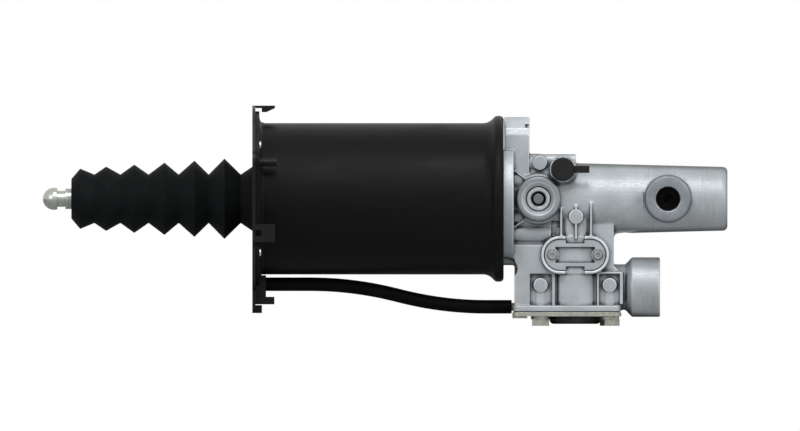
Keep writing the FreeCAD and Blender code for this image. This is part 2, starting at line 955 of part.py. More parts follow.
def housing_head():
    """Pilot and flange in the shell, and the disc outside it with a straight top edge."""
    pilot_r = bore_r - 2 * seat_gap
    groove = pilot_left + pilot_groove_inset
    pilot = turned([
        (pilot_left, 0),
        (pilot_left, pilot_r, 1.0),
        (groove, pilot_r),
        (groove, pilot_r - ring_groove_depth),
        (groove + ring_groove_width, pilot_r - ring_groove_depth),
        (groove + ring_groove_width, pilot_r),
        (flare_start, pilot_r),
        (flare_start, pilot_r - 1.0),
        (housing_flange_left + seat_gap, pilot_r - 1.0),
        (housing_flange_left + seat_gap, housing_flange_r),
        (rim_right - shell_wall - seat_gap, housing_flange_r),
        (rim_right - shell_wall - seat_gap, 0),
    ])
    disc = rod(Vector(rim_right - shell_wall - 1, 0, 0), Vector(disc_right, 0, 0), disc_r)
    disc = disc.common(slab_x(rectangle(-disc_r, disc_r, -disc_r - 1, disc_top, 5.0), 0, disc_right))
    return [pilot, disc]


def housing_tail():
    """Tapered hydraulic cylinder with the boss of the hydraulic port."""
    left = disc_right - 2
    tail = turned([
        (left, 0),
        (left, tail_r(left)),
        (tail_end_x, tail_end_r, tail_corner_r),
        (tail_end_x, 0),
    ])
    boss = turned([
        (0, 0),
        (0, port_boss_r + port_boss_draft),
        (-port_face_y - port_boss_chamfer, port_boss_r + port_boss_edge),
        (-port_face_y, port_boss_r - port_face_inset),
        (-port_face_y, 0),
    ], Vector(port_x, 0, 0), TO_FRONT)
    return [tail, boss]


def housing_upper():
    """Upper block, lug and the bosses round the plug and the bleed screw."""
    deep = block_half_depth
    upper = slab_x([(-deep, 0), (deep, 0), (deep, block_top, block_round), (-deep, block_top, block_round)],
                   disc_right - 2, block_right)
    lug_side = lug_half_depth
    lug = slab_x([
        (-lug_side, 0),
        (lug_side, 0),
        (lug_side, lug_top - lug_side_drop),
        (lug_side - lug_corner_in, lug_top - lug_corner_drop),
        (lug_side - lug_top_in, lug_top),
        (lug_top_in - lug_side, lug_top),
        (lug_corner_in - lug_side, lug_top - lug_corner_drop),
        (-lug_side, lug_top - lug_side_drop),
    ], rim_right + lug_left_gap, lug_right)
    boss = turned([
        (0, 0),
        (0, boss_base_r),
        (-boss_base_y, boss_base_r, boss_base_round),
        (-boss_base_y, boss_r + boss_draft / 2, boss_root_round),
        (-boss_face_y - boss_chamfer, boss_r),
        (-boss_face_y, boss_r - boss_chamfer),
        (-boss_face_y, 0),
    ], Vector(boss_x, 0, 0), TO_FRONT)
    bleed_boss = rod(Vector(bleed_x, 0, bleed_z), Vector(bleed_x, bleed_face_y, bleed_z), bleed_boss_r)
    upper_duct = rod(Vector(disc_right - 2, duct_y, upper_duct_z),
                     Vector(upper_duct_right, duct_y, upper_duct_z), upper_duct_r)
    lower_duct = rod(Vector(disc_right - 2, duct_y, lower_duct_z),
                     Vector(lower_duct_right, duct_y, lower_duct_z), lower_duct_r)
    return [upper, lug, boss, bleed_boss, upper_duct, lower_duct]


def housing_lower():
    """Block of the relay valve with its tower, foot and air port."""
    deep = core_half_depth
    core = slab_y([
        (block_left, foot_face + 1),
        (lower_right - 1, foot_face + 1),
        (lower_right - 1, recess_top + 1, core_round),
        (leg_right, recess_top + leg_drop, leg_round),
        (leg_right, 0),
        (block_left, 0),
    ], -deep, deep)
    under_tail = -tail_r(leg_right)
    web = slab_y([
        (leg_right - web_overlap, recess_top),
        (leg_right, recess_top),
        (leg_right, under_tail, web_round),
        (leg_right + web_reach, under_tail + web_rise),
        (leg_right + web_reach, 0),
        (leg_right - web_overlap, 0),
    ], -web_half_depth, web_half_depth)
    panels = [
        block(block_left, relay_x - panel_left_gap, panel_y, 0, foot_top + 1, panel_top),
        block(relay_x + panel_right_gap, lower_right, panel_y, 0, foot_top + 1, recess_top + panel_step),
        block(block_left, lower_right, 0, -panel_y, foot_top + 1, panel_top - back_panel_drop),
    ]
    tower = rod(Vector(relay_x, 0, foot_top + 1), Vector(relay_x, 0, 0), valve_tower_r)
    foot = slab_z(rectangle(foot_left, foot_right, -foot_half_depth, foot_half_depth, foot_corner),
                  foot_face, foot_top)
    return [core, web, tower, foot] + panels


def housing_air_port():
    """Air port with its neck, cone and collar."""
    cone_left = air_port_shoulder - air_port_cone
    return turned([
        (relay_x + air_neck_start, 0),
        (relay_x + air_neck_start, air_port_neck_r),
        (cone_left, air_port_neck_r),
        (air_port_shoulder, air_port_r, air_shoulder_round),
        (air_port_face, air_port_r, air_face_round),
        (air_port_face, 0),
    ], Vector(0, 0, air_port_z))


def plate_outline(grow):
    """Rounded outline of the side plate, as (x, z), enlarged by grow all round."""
    half_length = plate_length / 2 + grow
    half_height = plate_height / 2 + grow
    return rectangle(relay_x - half_length, relay_x + half_length,
                     plate_z - half_height, plate_z + half_height, half_height - 0.01)


def plate_tabs(width, inset, y0, y1):
    """The two places at the top and bottom where the tower's wall enters the plate."""
    half = width / 2
    reach = plate_height / 2 - inset
    high = plate_z + reach
    low = plate_z - reach
    far = plate_rim + 2
    return [
        block(relay_x - half, relay_x + half, y0, y1, high, high + inset + far),
        block(relay_x - half, relay_x + half, y0, y1, low - inset - far, low),
    ]


def housing_plate_seat():
    """Raised seat of the side plate, broken at the top and bottom."""
    seat = slab_y(plate_outline(plate_rim), plate_rim_y, -core_half_depth + 4)
    cuts = [slab_y(plate_outline(plate_gap), plate_rim_y - 1, plate_seat_y)]
    cuts += plate_tabs(plate_notch_width, plate_notch_depth, plate_rim_y - 1, plate_seat_y)
    return [seat.cut(cuts)]


def pad_places():
    """Centres of the round ejector pads, as (x, z, face y)."""
    column_face = -(cover_bolt_y + column_r) - pad_stand
    column_top = air_port_z + pad_rise
    return [
        (boss_x + 1, upper_duct_z + 0.2, duct_y - upper_duct_r - upper_pad_stand),
        (relay_x + middle_pad_x, middle_pad_z, pad_face_y),
        (relay_x - cover_bolt_x, column_top, column_face),
        (relay_x + cover_bolt_x, column_top, column_face),
    ]


def housing_pads_and_ribs():
    """Ejector pads, the thin upright ribs below the tail and the slanted ones beside the boss."""
    adds = []
    for x, z, face in pad_places():
        adds.append(rod(Vector(x, pad_back_y, z), Vector(x, face, z), pad_r))
    half = rib_thickness / 2
    top_of_seat = plate_z + plate_height / 2 + plate_gap
    for offset, top in rib_places:
        x = relay_x + offset
        adds.append(block(x - half, x + half, pad_face_y, pad_back_y, top_of_seat, top))
    gusset_end = disc_right + gusset_length
    for up in (-1, 1):
        adds.append(slab_y([
            (disc_right - 1, up * gusset_high),
            (gusset_end, up * gusset_low),
            (gusset_end, up * (gusset_low - gusset_width)),
            (disc_right - 1, up * (gusset_high - gusset_width)),
        ], gusset_y, pad_back_y))
    return adds


def cover_bolt_places():
    """Centres of the four cover bolts, as (x, y)."""
    return [(relay_x + side * cover_bolt_x, front * cover_bolt_y) for side in (-1, 1) for front in (-1, 1)]


def housing_recesses():
    """Cored recesses of the casting's outside."""
    left_edge = relay_x - cover_bolt_x - recess_left_out
    right_edge = relay_x + cover_bolt_x + recess_right_out
    wall_left = relay_x - recess_left_in
    wall_right = relay_x + recess_right_in
    cuts = []
    for side in (-1, 1):
        y0, y1 = sorted((side * core_half_depth, -side * outside_y))
        cuts.append(block(left_edge, wall_left, y0, y1, foot_top, recess_top))
        cuts.append(block(wall_right, right_edge, y0, y1, foot_top, recess_top))
    left = disc_right + pocket_gap
    for up in (-1, 1):
        corners = [(left, up * pocket_inner), (left, up * pocket_outer),
                   (disc_right + pocket_length, up * pocket_middle)]
        cuts.append(slab_y(corners, outside_y, pocket_floor_y))
    cuts.append(block(lower_duct_right + low_pocket_gap, relay_x - low_pocket_right,
                      outside_y, low_pocket_floor_y, lower_duct_z - 1, low_pocket_top))
    lens_middle = Vector(block_left - lens_x, 0, lens_z)
    cuts.append(rod(lens_middle + TO_FRONT * -outside_y, lens_middle + TO_FRONT * -lens_floor_y, lens_r))
    notch_end = Vector(lug_right + 1, notch_inset - lug_half_depth, lug_top - notch_drop)
    cuts.append(rod(notch_end, notch_end - ALONG_X * (notch_length + 1), notch_r))
    return cuts


def window_cut():
    """Deep middle of the plate's seat, in front of the valve tower."""
    half_length = plate_window_length / 2 + window_margin
    half_height = plate_window_height / 2 + window_margin
    return slab_y(rectangle(relay_x - half_length, relay_x + half_length,
                            plate_z - half_height, plate_z + half_height, window_round),
                  plate_rim_y - 1, window_floor_y)


def at_relay(z):
    """Point on the relay valve's axis."""
    return Vector(relay_x, 0, z)


def housing_bores():
    """Bores, drillings and tapped holes of the housing."""
    air_end = Vector(air_port_face - air_thread_depth, 0, air_port_z)
    air_face = Vector(air_port_face, 0, air_port_z)
    air_cross = Vector(relay_x, 0, air_port_z)
    clip_left, bush_left = plunger_stack()[:2]
    duct = Vector(pilot_left - 1, duct_y, lower_duct_z)
    duct_turn = Vector(lower_duct_right - 3.5, duct_y, lower_duct_z)
    duct_low = Vector(duct_turn.x, duct_y, relay_bore_floor + 4)
    dish_top = -boss_face_y
    half_clip = port_clip_height / 2 + port_clip_side_gap
    clip_y = port_face_y + port_clip_inset
    clip_half = port_clip_thickness / 2 + port_clip_gap
    cuts = [
        rod(Vector(pilot_left - 1, 0, 0), Vector(seal_bore_right, 0, 0), seal_bore_r),
        rod(Vector(clip_left, 0, 0), Vector(bush_left, 0, 0), seal_bore_r + clip_groove),
        rod(Vector(pilot_left, 0, 0), Vector(hydraulic_bore_end, 0, 0), hydraulic_bore_r),
        turned([(dish_top - plug_bore_depth, 0), (dish_top - plug_bore_depth, plug_bore_r),
                (dish_top - dish_depth, plug_bore_r), (dish_top + 0.1, dish_r), (dish_top + 0.1, 0)],
               Vector(boss_x, 0, 0), TO_FRONT),
        rod(Vector(boss_x, 0, 0), Vector(boss_x, boss_face_y, 0), plug_drill_r),
        rod(Vector(bleed_x, bleed_face_y - 1, bleed_z),
            Vector(bleed_x, bleed_face_y + bleed_thread_depth, bleed_z), bleed_thread_r + seat_gap),
        rod(Vector(bleed_x, bleed_face_y + bleed_thread_depth - 1, bleed_z),
            Vector(bleed_x, bleed_drill_end_y + 1, bleed_z), bleed_drill_r),
        rod(Vector(bleed_x, bleed_drill_end_y, bleed_z),
            Vector(bleed_x, bleed_drill_end_y, bleed_drill_end_z), bleed_drill_r),
        rod(Vector(port_x, port_face_y - 1, 0), Vector(port_x, port_face_y + port_hole_depth, 0),
            port_hole_r),
        rod(Vector(port_x, port_face_y, 0),
            Vector(port_x, port_face_y + port_hole_depth + port_seal_depth, 0), port_seal_r),
        rod(Vector(port_x, port_face_y, 0), Vector(port_x, 0, 0), port_drill_r),
        block(port_x - port_boss_r - 4, port_x - port_hole_r + 2,
              clip_y - clip_half, clip_y + clip_half, -half_clip, half_clip),
        block(port_x + port_hole_r - 1, port_x + port_hole_r + port_key_depth,
              port_face_y - 1, port_face_y + 3, -port_key_half_width, port_key_half_width),
        rod(at_relay(-5), at_relay(relay_bore_top), relay_drill_r),
        rod(at_relay(stem_bore_top), at_relay(relay_bore_top - 1), stem_bore_r),
        rod(at_relay(relay_bore_top), at_relay(relay_bore_floor), relay_bore_r),
        rod(at_relay(relay_bore_floor), at_relay(seat_face), seat_hole_r),
        rod(at_relay(seat_face), at_relay(insert_flange_top), relay_bore_r),
        rod(at_relay(insert_flange_top), at_relay(foot_face - 1), insert_flange_r + 2 * seat_gap),
        rod(air_end, air_face, air_thread_r),
        rod(air_face - ALONG_X * air_thread_lead, air_face + ALONG_X, air_thread_r + air_lead_step),
        rod(air_cross, air_end, air_cross_r),
        rod(duct, duct_turn, duct_drill_r),
        rod(duct_turn + Vector(0, 0, 2), duct_low, duct_down_r),
        rod(duct_low, Vector(relay_x - 6, -3, duct_low.z), duct_cross_r),
        rod(Vector(foot_left - 1, 0, hose_end_z),
            Vector(relay_x - insert_flange_r + 1, 0, hose_end_z), breather_drill_r),
        rod(Vector(foot_left - 1, 0, hose_end_z), Vector(foot_left + nipple_seat_depth, 0, hose_end_z),
            nipple_r + seat_gap),
    ]
    for x, y in cover_bolt_places():
        depth = foot_face + bolt_thread_length + 1
        cuts.append(rod(Vector(x, y, foot_face - 1), Vector(x, y, depth), bolt_r + seat_gap))
    screw_end_y = plate_seat_y + plate_screw_length - 1
    for side in (-1, 1):
        x = relay_x + side * plate_screw_x
        cuts.append(rod(Vector(x, plate_rim_y, plate_z), Vector(x, screw_end_y, plate_z),
                        plate_screw_r + seat_gap))
    return cuts


def bolt_columns():
    """Round columns in the recesses, round the cover bolts' threads."""
    return [rod(Vector(x, y, foot_top), Vector(x, y, air_port_z + pad_rise), column_r)
            for x, y in cover_bolt_places()]


def housing():
    """Die-cast housing: the cylinder's end, the hydraulic tail and the relay valve's block."""
    casting = fused(housing_head() + housing_tail() + housing_upper() + housing_lower()
                    + [housing_air_port()])
    casting = casting.cut(housing_recesses())
    casting = fused([casting] + housing_plate_seat() + bolt_columns() + housing_pads_and_ribs())
    tower = rod(Vector(relay_x, 0, foot_top), Vector(relay_x, 0, -20), valve_tower_r)
    casting = fused([casting.cut(window_cut()), tower])
    return casting.cut(housing_bores()).removeSplitter()


# Pieces in and on the housing

def plug_back():
    """Distance of the cross bore's floor in front of the axis."""
    return -boss_face_y - plug_bore_depth + seat_gap


def plug_sleeve():
    """Pressed sleeve that the pin widens in the housing's cross bore."""
    back = plug_back()
    front = back + plug_sleeve_length
    outer = plug_bore_r - seat_gap
    return turned([
        (back, 0), (back, outer), (front - plug_chamfer, outer), (front, outer - plug_chamfer),
        (front, plug_hole_r + plug_chamfer), (front - plug_chamfer, plug_hole_r),
        (back + plug_floor, plug_hole_r), (back + plug_floor, 0),
    ], Vector(boss_x, 0, 0), TO_FRONT)


def plug_pin():
    """Tapered pin driven into the plug's sleeve."""
    back = plug_back() + plug_floor + seat_gap
    wide = plug_hole_r - seat_gap
    return turned([
        (back, 0), (back, wide), (back + 1.5, wide), (back + 2.6, plug_pin_r),
        (back + plug_pin_length - 0.6, plug_pin_r), (back + plug_pin_length, plug_pin_r - 0.6),
        (back + plug_pin_length, 0),
    ], Vector(boss_x, 0, 0), TO_FRONT)


def bleed_screw():
    """Bleed screw with a hexagon and a hose nipple."""
    front = -bleed_face_y
    base = Vector(bleed_x, 0, bleed_z)
    shank = turned([
        (front - 12.6, 0), (front - 12.6, 1.0), (front - 10.5, bleed_thread_r), (front, bleed_thread_r),
        (front + 3.0, bleed_thread_r), (front + 4.0, bleed_nipple_r - 0.7),
        (front + bleed_nipple_length - 2.0, bleed_nipple_r - 0.7),
        (front + bleed_nipple_length - 1.2, bleed_nipple_r),
        (front + bleed_nipple_length, bleed_nipple_r - 0.8), (front + bleed_nipple_length, 0),
    ], base, TO_FRONT)
    hexagon = hex_prism(8.0, 2.6, Vector(bleed_x, bleed_face_y - 0.3, bleed_z), TO_FRONT)
    return fused([shank, hexagon])


def hex_prism(across_flats, height, base, axis):
    """Hexagonal head that begins at base and runs along axis."""
    r = across_flats / math.sqrt(3)
    points = [Vector(r * math.cos(math.radians(60 * i + 30)), r * math.sin(math.radians(60 * i + 30)), 0)
              for i in range(6)]
    prism = Part.Face(Part.makePolygon(points + points[:1])).extrude(Vector(0, 0, height))
    prism.Placement = FreeCAD.Placement(base, FreeCAD.Rotation(Vector(0, 0, 1), axis))
    return prism


def bleeder_cap():
    """Rubber cap over the bleed screw, with a pull tab."""
    base = Vector(bleed_x, 0, bleed_z)
    back = -bleed_face_y + 0.3
    front = back + cap_length
    inner = cap_r - cap_wall
    cup = turned([
        (back, inner), (back, cap_r), (front, cap_r, 1.0), (front, 0), (front - cap_wall, 0),
        (front - cap_wall, inner),
    ], base, TO_FRONT)
    middle = -(front - 4.0)
    half = cap_tab_height / 2
    tab = block(bleed_x + inner + 0.6, bleed_x + cap_tab_length, middle - 1.3, middle + 1.3,
                bleed_z - half, bleed_z + half)
    return fused([cup, tab])


def port_seal():
    """Sealing ring at the bottom of the hydraulic port."""
    bottom = -port_face_y - port_hole_depth - port_seal_depth + seat_gap
    top = bottom + port_seal_depth - 2 * seat_gap
    return ring(bottom, top, port_drill_r + running_fit, port_seal_r - seat_gap,
                Vector(port_x, 0, 0), TO_FRONT)


def port_clip():
    """Spring clip in the slot of the hydraulic port, which holds the line's connector."""
    clip_y = port_face_y + port_clip_inset
    half = port_clip_height / 2
    left = port_x - port_boss_r - port_boss_draft - 1.4
    thin = port_clip_thickness / 2
    leaf = block(left, port_x - port_hole_r - sliding_gap, clip_y - thin, clip_y + thin, -half, half)
    lip = block(left, left + port_clip_thickness, clip_y - port_clip_lip, clip_y + thin, -half, half)
    return fused([leaf, lip])


def side_plate():
    """Plate with a window, held by two screws on the valve block."""
    front = plate_seat_y - plate_thickness
    plate = slab_y(plate_outline(0), front, plate_seat_y - seat_gap)
    half_height = plate_window_height / 2
    half_length = plate_window_length / 2
    window = block(relay_x - half_length, relay_x + half_length, front - 1, plate_seat_y + 1,
                   plate_z - half_height, plate_z + half_height)
    places = [Vector(relay_x + side * plate_screw_x, front - 1, plate_z) for side in (-1, 1)]
    through = Vector(0, plate_thickness + 2, 0)
    window = window.cut([rod(p, p + through, plate_screw_head_r + plate_screw_boss) for p in places])
    cuts = [window] + plate_tabs(plate_notch_width, plate_notch_depth, front - 1, plate_seat_y + 1)
    cuts += [rod(p, p + through, plate_screw_r + sliding_gap) for p in places]
    return plate.cut(cuts)


def side_plate_screws():
    """Two pan-head screws of the side plate."""
    screws = []
    under_head = -(plate_seat_y - plate_thickness) + seat_gap
    head_top = under_head + plate_screw_head_height
    tip = under_head - plate_thickness - plate_screw_length + 2.0
    for side in (-1, 1):
        base = Vector(relay_x + side * plate_screw_x, 0, plate_z)
        screw = turned([
            (tip, 0),
            (tip, plate_screw_r),
            (under_head, plate_screw_r),
            (under_head, plate_screw_head_r),
            (head_top, plate_screw_head_r, 0.4),
            (head_top, 0),
        ], base, TO_FRONT)
        socket_floor = base + TO_FRONT * (head_top - plate_socket_depth)
        socket = hex_prism(plate_socket_width, plate_socket_depth + 1, socket_floor, TO_FRONT)
        screws.append(screw.cut(socket))
    return Part.makeCompound(screws)


# Relay valve. Its profiles run down from the cylinder's axis, so a height z is written as -z.

def relay_turned(corners):
    """Solid of revolution round the relay valve's upright axis, from corners (z, r)."""
    flipped = [(-c[0],) + tuple(c[1:]) for c in corners]
    return turned(flipped, Vector(relay_x, 0, 0), DOWN)


def relay_piston():
    """Stepped control piston with a hollow nose that closes the exhaust."""
    groove_top = relay_disc_top - 1.8
    groove_low = groove_top - ring_groove_width
    disc_r_out = relay_bore_r - 2 * running_fit
    stem_r = stem_bore_r - running_fit
    nose_tip = seat_face + valve_opening_gap
    groove_in = stem_r - ring_groove_depth
    stem_groove = relay_stem_top - 4.0
    return relay_turned([
        (relay_stem_top, 0), (relay_stem_top, stem_r), (stem_groove, stem_r), (stem_groove, groove_in),
        (stem_groove - ring_groove_width, groove_in), (stem_groove - ring_groove_width, stem_r),
        (relay_disc_top, stem_r), (relay_disc_top, disc_r_out), (groove_top, disc_r_out),
        (groove_top, disc_r_out - ring_groove_depth), (groove_low, disc_r_out - ring_groove_depth),
        (groove_low, disc_r_out), (relay_disc_bottom, disc_r_out), (relay_disc_bottom, relay_nose_r),
        (nose_tip, relay_nose_r - 0.6), (nose_tip, valve_bore_r + 0.9),
        (relay_disc_bottom, valve_bore_r + 0.9), (relay_disc_bottom, 0),
    ])


def relay_disc_seal():
    """Ring seal of the control piston's air side."""
    top = relay_disc_top - 1.8 - seat_gap
    inner = relay_bore_r - 2 * running_fit - ring_groove_depth + seat_gap
    return ring(-top, -top + ring_groove_width - 2 * seat_gap, inner, relay_bore_r - seat_gap,
                Vector(relay_x, 0, 0), DOWN)


def relay_stem_seal():
    """Ring seal of the control piston's hydraulic side."""
    top = relay_stem_top - 4.0 - seat_gap
    inner = stem_bore_r - running_fit - ring_groove_depth + seat_gap
    return ring(-top, -top + ring_groove_width - 2 * seat_gap, inner, stem_bore_r - seat_gap,
                Vector(relay_x, 0, 0), DOWN)


def relay_spring():
    """Return spring of the control piston."""
    length = relay_disc_bottom - relay_bore_floor - 2 * seat_gap
    return coil(8.6, 8.6, relay_spring_wire_r, relay_spring_turns, length,
                Vector(relay_x, 0, relay_disc_bottom - seat_gap), DOWN)


def inlet_valve():
    """Double-seat valve: a faced disc on a tube through which the air leaves."""
    top = seat_face - seat_gap
    low = top - valve_disc_thickness
    return relay_turned([
        (top, valve_bore_r), (top, valve_disc_r), (low, valve_disc_r), (low, valve_tube_r),
        (valve_tube_end, valve_tube_r), (valve_tube_end, valve_bore_r),
    ])


def valve_spring():
    """Spring that closes the inlet valve."""
    top = seat_face - seat_gap - valve_disc_thickness - seat_gap
    length = top - insert_top - seat_gap
    return coil(6.2, 6.2, valve_spring_wire_r, valve_spring_turns, length, Vector(relay_x, 0, top), DOWN)


def valve_insert():
    """Insert that guides the valve's tube and closes the inlet chamber, on a slotted skirt."""
    body_r = relay_bore_r - 2 * running_fit
    bore = valve_tube_r + running_fit
    groove_top = insert_top - 1.8
    groove_low = groove_top - ring_groove_width
    skirt_r = insert_flange_r - insert_skirt
    shape = relay_turned([
        (insert_top, bore), (insert_top, body_r), (groove_top, body_r),
        (groove_top, body_r - ring_groove_depth), (groove_low, body_r - ring_groove_depth),
        (groove_low, body_r), (insert_flange_top - seat_gap, body_r),
        (insert_flange_top - seat_gap, insert_flange_r), (foot_face, insert_flange_r),
        (foot_face, skirt_r), (insert_flange_bottom, skirt_r), (insert_flange_bottom, bore),
    ])
    reach = insert_flange_r + 1
    slots = [
        block(relay_x - reach, relay_x + reach, -3, 3, foot_face - 1, foot_face + 3.4),
        block(relay_x - 3, relay_x + 3, -reach, reach, foot_face - 1, foot_face + 3.4),
    ]
    return shape.cut(slots)


def insert_seal():
    """Ring seal of the valve's insert."""
    top = insert_top - 1.8 - seat_gap
    inner = relay_bore_r - 2 * running_fit - ring_groove_depth + seat_gap
    return ring(-top, -top + ring_groove_width - 2 * seat_gap, inner, relay_bore_r - seat_gap,
                Vector(relay_x, 0, 0), DOWN)


# Foot cover, vent cap and breather hose

def foot_plate(z_low, z_high, grow):
    """Plate of the foot's outline."""
    half = foot_half_depth + grow
    return slab_z(rectangle(foot_left - grow, foot_right + grow, -half, half, 5.0), z_low, z_high)


def cover_gasket():
    """Gasket under the housing's foot."""
    low = foot_face - gasket_thickness
    gasket = foot_plate(low, foot_face, -0.6)
    opening_r = insert_flange_r - insert_skirt
    cuts = [rod(Vector(relay_x, 0, low - 1), Vector(relay_x, 0, foot_face + 1), opening_r)]
    cuts += [rod(Vector(x, y, low - 1), Vector(x, y, foot_face + 1), bolt_r + sliding_gap)
             for x, y in cover_bolt_places()]
    return gasket.cut(cuts)


def foot_cover():
    """Zinc-plated cover with a thick heel and a pad at each bolt."""
    top = foot_face - gasket_thickness
    low = top - cover_thickness
    pad_low = low - cover_pad_height
    half = foot_half_depth + cover_overhang
    heel_right = foot_left - cover_overhang + cover_heel_length - 5
    plate = foot_plate(low, top, cover_overhang)
    heel = block(foot_left - cover_overhang, heel_right, -half + 5, half - 5, low - cover_heel_height, low)
    pads = [rod(Vector(x, y, low), Vector(x, y, pad_low), cover_pad_r) for x, y in cover_bolt_places()]
    cover = fused([plate, heel] + pads)
    cuts = [rod(Vector(relay_x, 0, pad_low - 1), Vector(relay_x, 0, top + 1), vent_stem_r + 0.1)]
    for x, y in cover_bolt_places():
        cuts.append(rod(Vector(x, y, pad_low - 1), Vector(x, y, top + 1), bolt_r + sliding_gap))
    for angle in range(45, 360, 90):
        at = math.radians(angle)
        x, y = relay_x + cover_vent_r * math.cos(at), cover_vent_r * math.sin(at)
        cuts.append(rod(Vector(x, y, low - 1), Vector(x, y, top + 1), 2.2))
    return cover.cut(cuts)


def cover_bolts():
    """Four hexagon bolts of the foot cover."""
    head_top = foot_face - gasket_thickness - cover_thickness - cover_pad_height - seat_gap
    bolts = []
    for x, y in cover_bolt_places():
        shank = rod(Vector(x, y, head_top), Vector(x, y, foot_face + bolt_thread_length), bolt_r)
        head = hex_prism(bolt_head_width, bolt_head_height, Vector(x, y, head_top), DOWN)
        if x > relay_x:
            head.rotate(Vector(x, y, head_top), DOWN, bolt_right_turn)
        bolts.append(fused([shank, head]))
    return Part.makeCompound(bolts)


def vent_cap():
    """Rubber cap whose lip lifts off the cover when the valve exhausts."""
    top = foot_face - gasket_thickness - cover_thickness
    low = top - vent_cap_height
    stem_top = top + cover_thickness + gasket_thickness
    inner = vent_cap_r - 2.2
    return relay_turned([
        (stem_top + 1.6, 0), (stem_top + 1.6, vent_stem_r - 0.6), (stem_top + 0.1, vent_stem_r + 1.0),
        (stem_top - gasket_thickness + seat_gap, vent_stem_r + 1.0),
        (stem_top - gasket_thickness + seat_gap, vent_stem_r),
        (top - 2.0, vent_stem_r), (top - 2.0, inner), (top - seat_gap, inner), (top - seat_gap, vent_cap_r),
        (low, vent_cap_r, vent_cap_round), (low, 0),
    ])


def hose_route():
    """Centre line of the breather hose, level at both ends with one long bend each way between them."""
    start = Vector(hose_block_reach, 0, hose_start_z)
    end = Vector(hose_end_x, 0, hose_end_z)
    first = Vector(hose_first_bend_x, 0, start.z)
    second = Vector(hose_second_bend_x, 0, end.z)
    down = (second - first).normalize()
    turn = ALONG_X.getAngle(down)
    middle_run = (second - first).Length
    radius = 0.45 * middle_run / math.tan(turn / 2)
    reach = radius * math.tan(turn / 2)
    edges = []
    here = start
    for corner, before, after in ((first, ALONG_X, down), (second, down, ALONG_X)):
        arc_start = corner - before * reach
        arc_end = corner + after * reach
        inward = (after - before).normalize()
        middle = corner + inward * (radius / math.cos(turn / 2) - radius)
        edges.append(Part.LineSegment(here, arc_start).toShape())
        edges.append(Part.Arc(arc_start, middle, arc_end).toShape())
        here = arc_end
    edges.append(Part.LineSegment(here, end).toShape())
    return Part.Wire(edges), radius


def breather_hose():
    """Rubber hose from the exhaust space to the adapter plate."""
    route, radius = hose_route()
    start = Vector(hose_block_reach, 0, hose_start_z)

    def tube(r):
        circle = Part.Wire(Part.makeCircle(r, start, ALONG_X))
        return route.makePipeShell([circle], True, False)

    hose = tube(hose_r).cut(tube(hose_bore_r))
    section = math.pi * (hose_r ** 2 - hose_bore_r ** 2)
    print("hose: length %.1f, bend radius %.1f, volume %.1f, section times length %.1f"
          % (route.Length, radius, hose.Volume, section * route.Length))
    return hose


def hose_nipples():
    """Two short tubes that join the hose to the adapter plate and to the housing."""
    ends = [
        (hose_block_reach - nipple_seat_depth, hose_block_reach + nipple_reach, hose_start_z),
        (hose_end_x - nipple_reach, foot_left + nipple_seat_depth, hose_end_z),
    ]
    return Part.makeCompound([ring(left, right, nipple_bore_r, nipple_r, Vector(0, 0, z))
                              for left, right, z in ends])


NODES = {
    "mounting_flange": mounting_flange,
    "cylinder_shell": cylinder_shell,
    "adapter_plate": adapter_plate,
    "adapter_rivets": adapter_rivets,
    "boot": boot,
    "push_rod": push_rod,
    "rod_retainer": rod_retainer,
    "servo_piston": servo_piston,
    "piston_seal": piston_seal,
    "guide_ring": guide_ring,
    "hydraulic_plunger": hydraulic_plunger,
    "preload_spring": preload_spring,
    "plunger_clip": plunger_clip,
    "plunger_bush": plunger_bush,
    "plunger_air_seal": plunger_air_seal,
    "plunger_spacer": plunger_spacer,
    "plunger_cup": plunger_cup,
    "housing_seal": housing_seal,
    "housing": housing,
    "plug_sleeve": plug_sleeve,
    "plug_pin": plug_pin,
    "bleed_screw": bleed_screw,
    "bleeder_cap": bleeder_cap,
    "port_seal": port_seal,
    "port_clip": port_clip,
    "side_plate": side_plate,
    "side_plate_screws": side_plate_screws,
    "relay_piston": relay_piston,
    "relay_disc_seal": relay_disc_seal,
    "relay_stem_seal": relay_stem_seal,
    "relay_spring": relay_spring,
    "inlet_valve": inlet_valve,
    "valve_spring": valve_spring,
    "valve_insert": valve_insert,
    "insert_seal": insert_seal,
    "cover_gasket": cover_gasket,
    "foot_cover": foot_cover,
    "cover_bolts": cover_bolts,
    "vent_cap": vent_cap,
    "breather_hose": breather_hose,
    "hose_nipples": hose_nipples,
}

os.makedirs("parts", exist_ok=True)
for name, make in NODES.items():
    make().exportStep("parts/%s.step" % name)
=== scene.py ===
"""Dresses the clutch servo with its finishes, soft boot, cast housing, light and camera."""

import logging
import math
from dataclasses import dataclass
from enum import Enum
from functools import cached_property

import bpy
from mathutils import Matrix, Vector


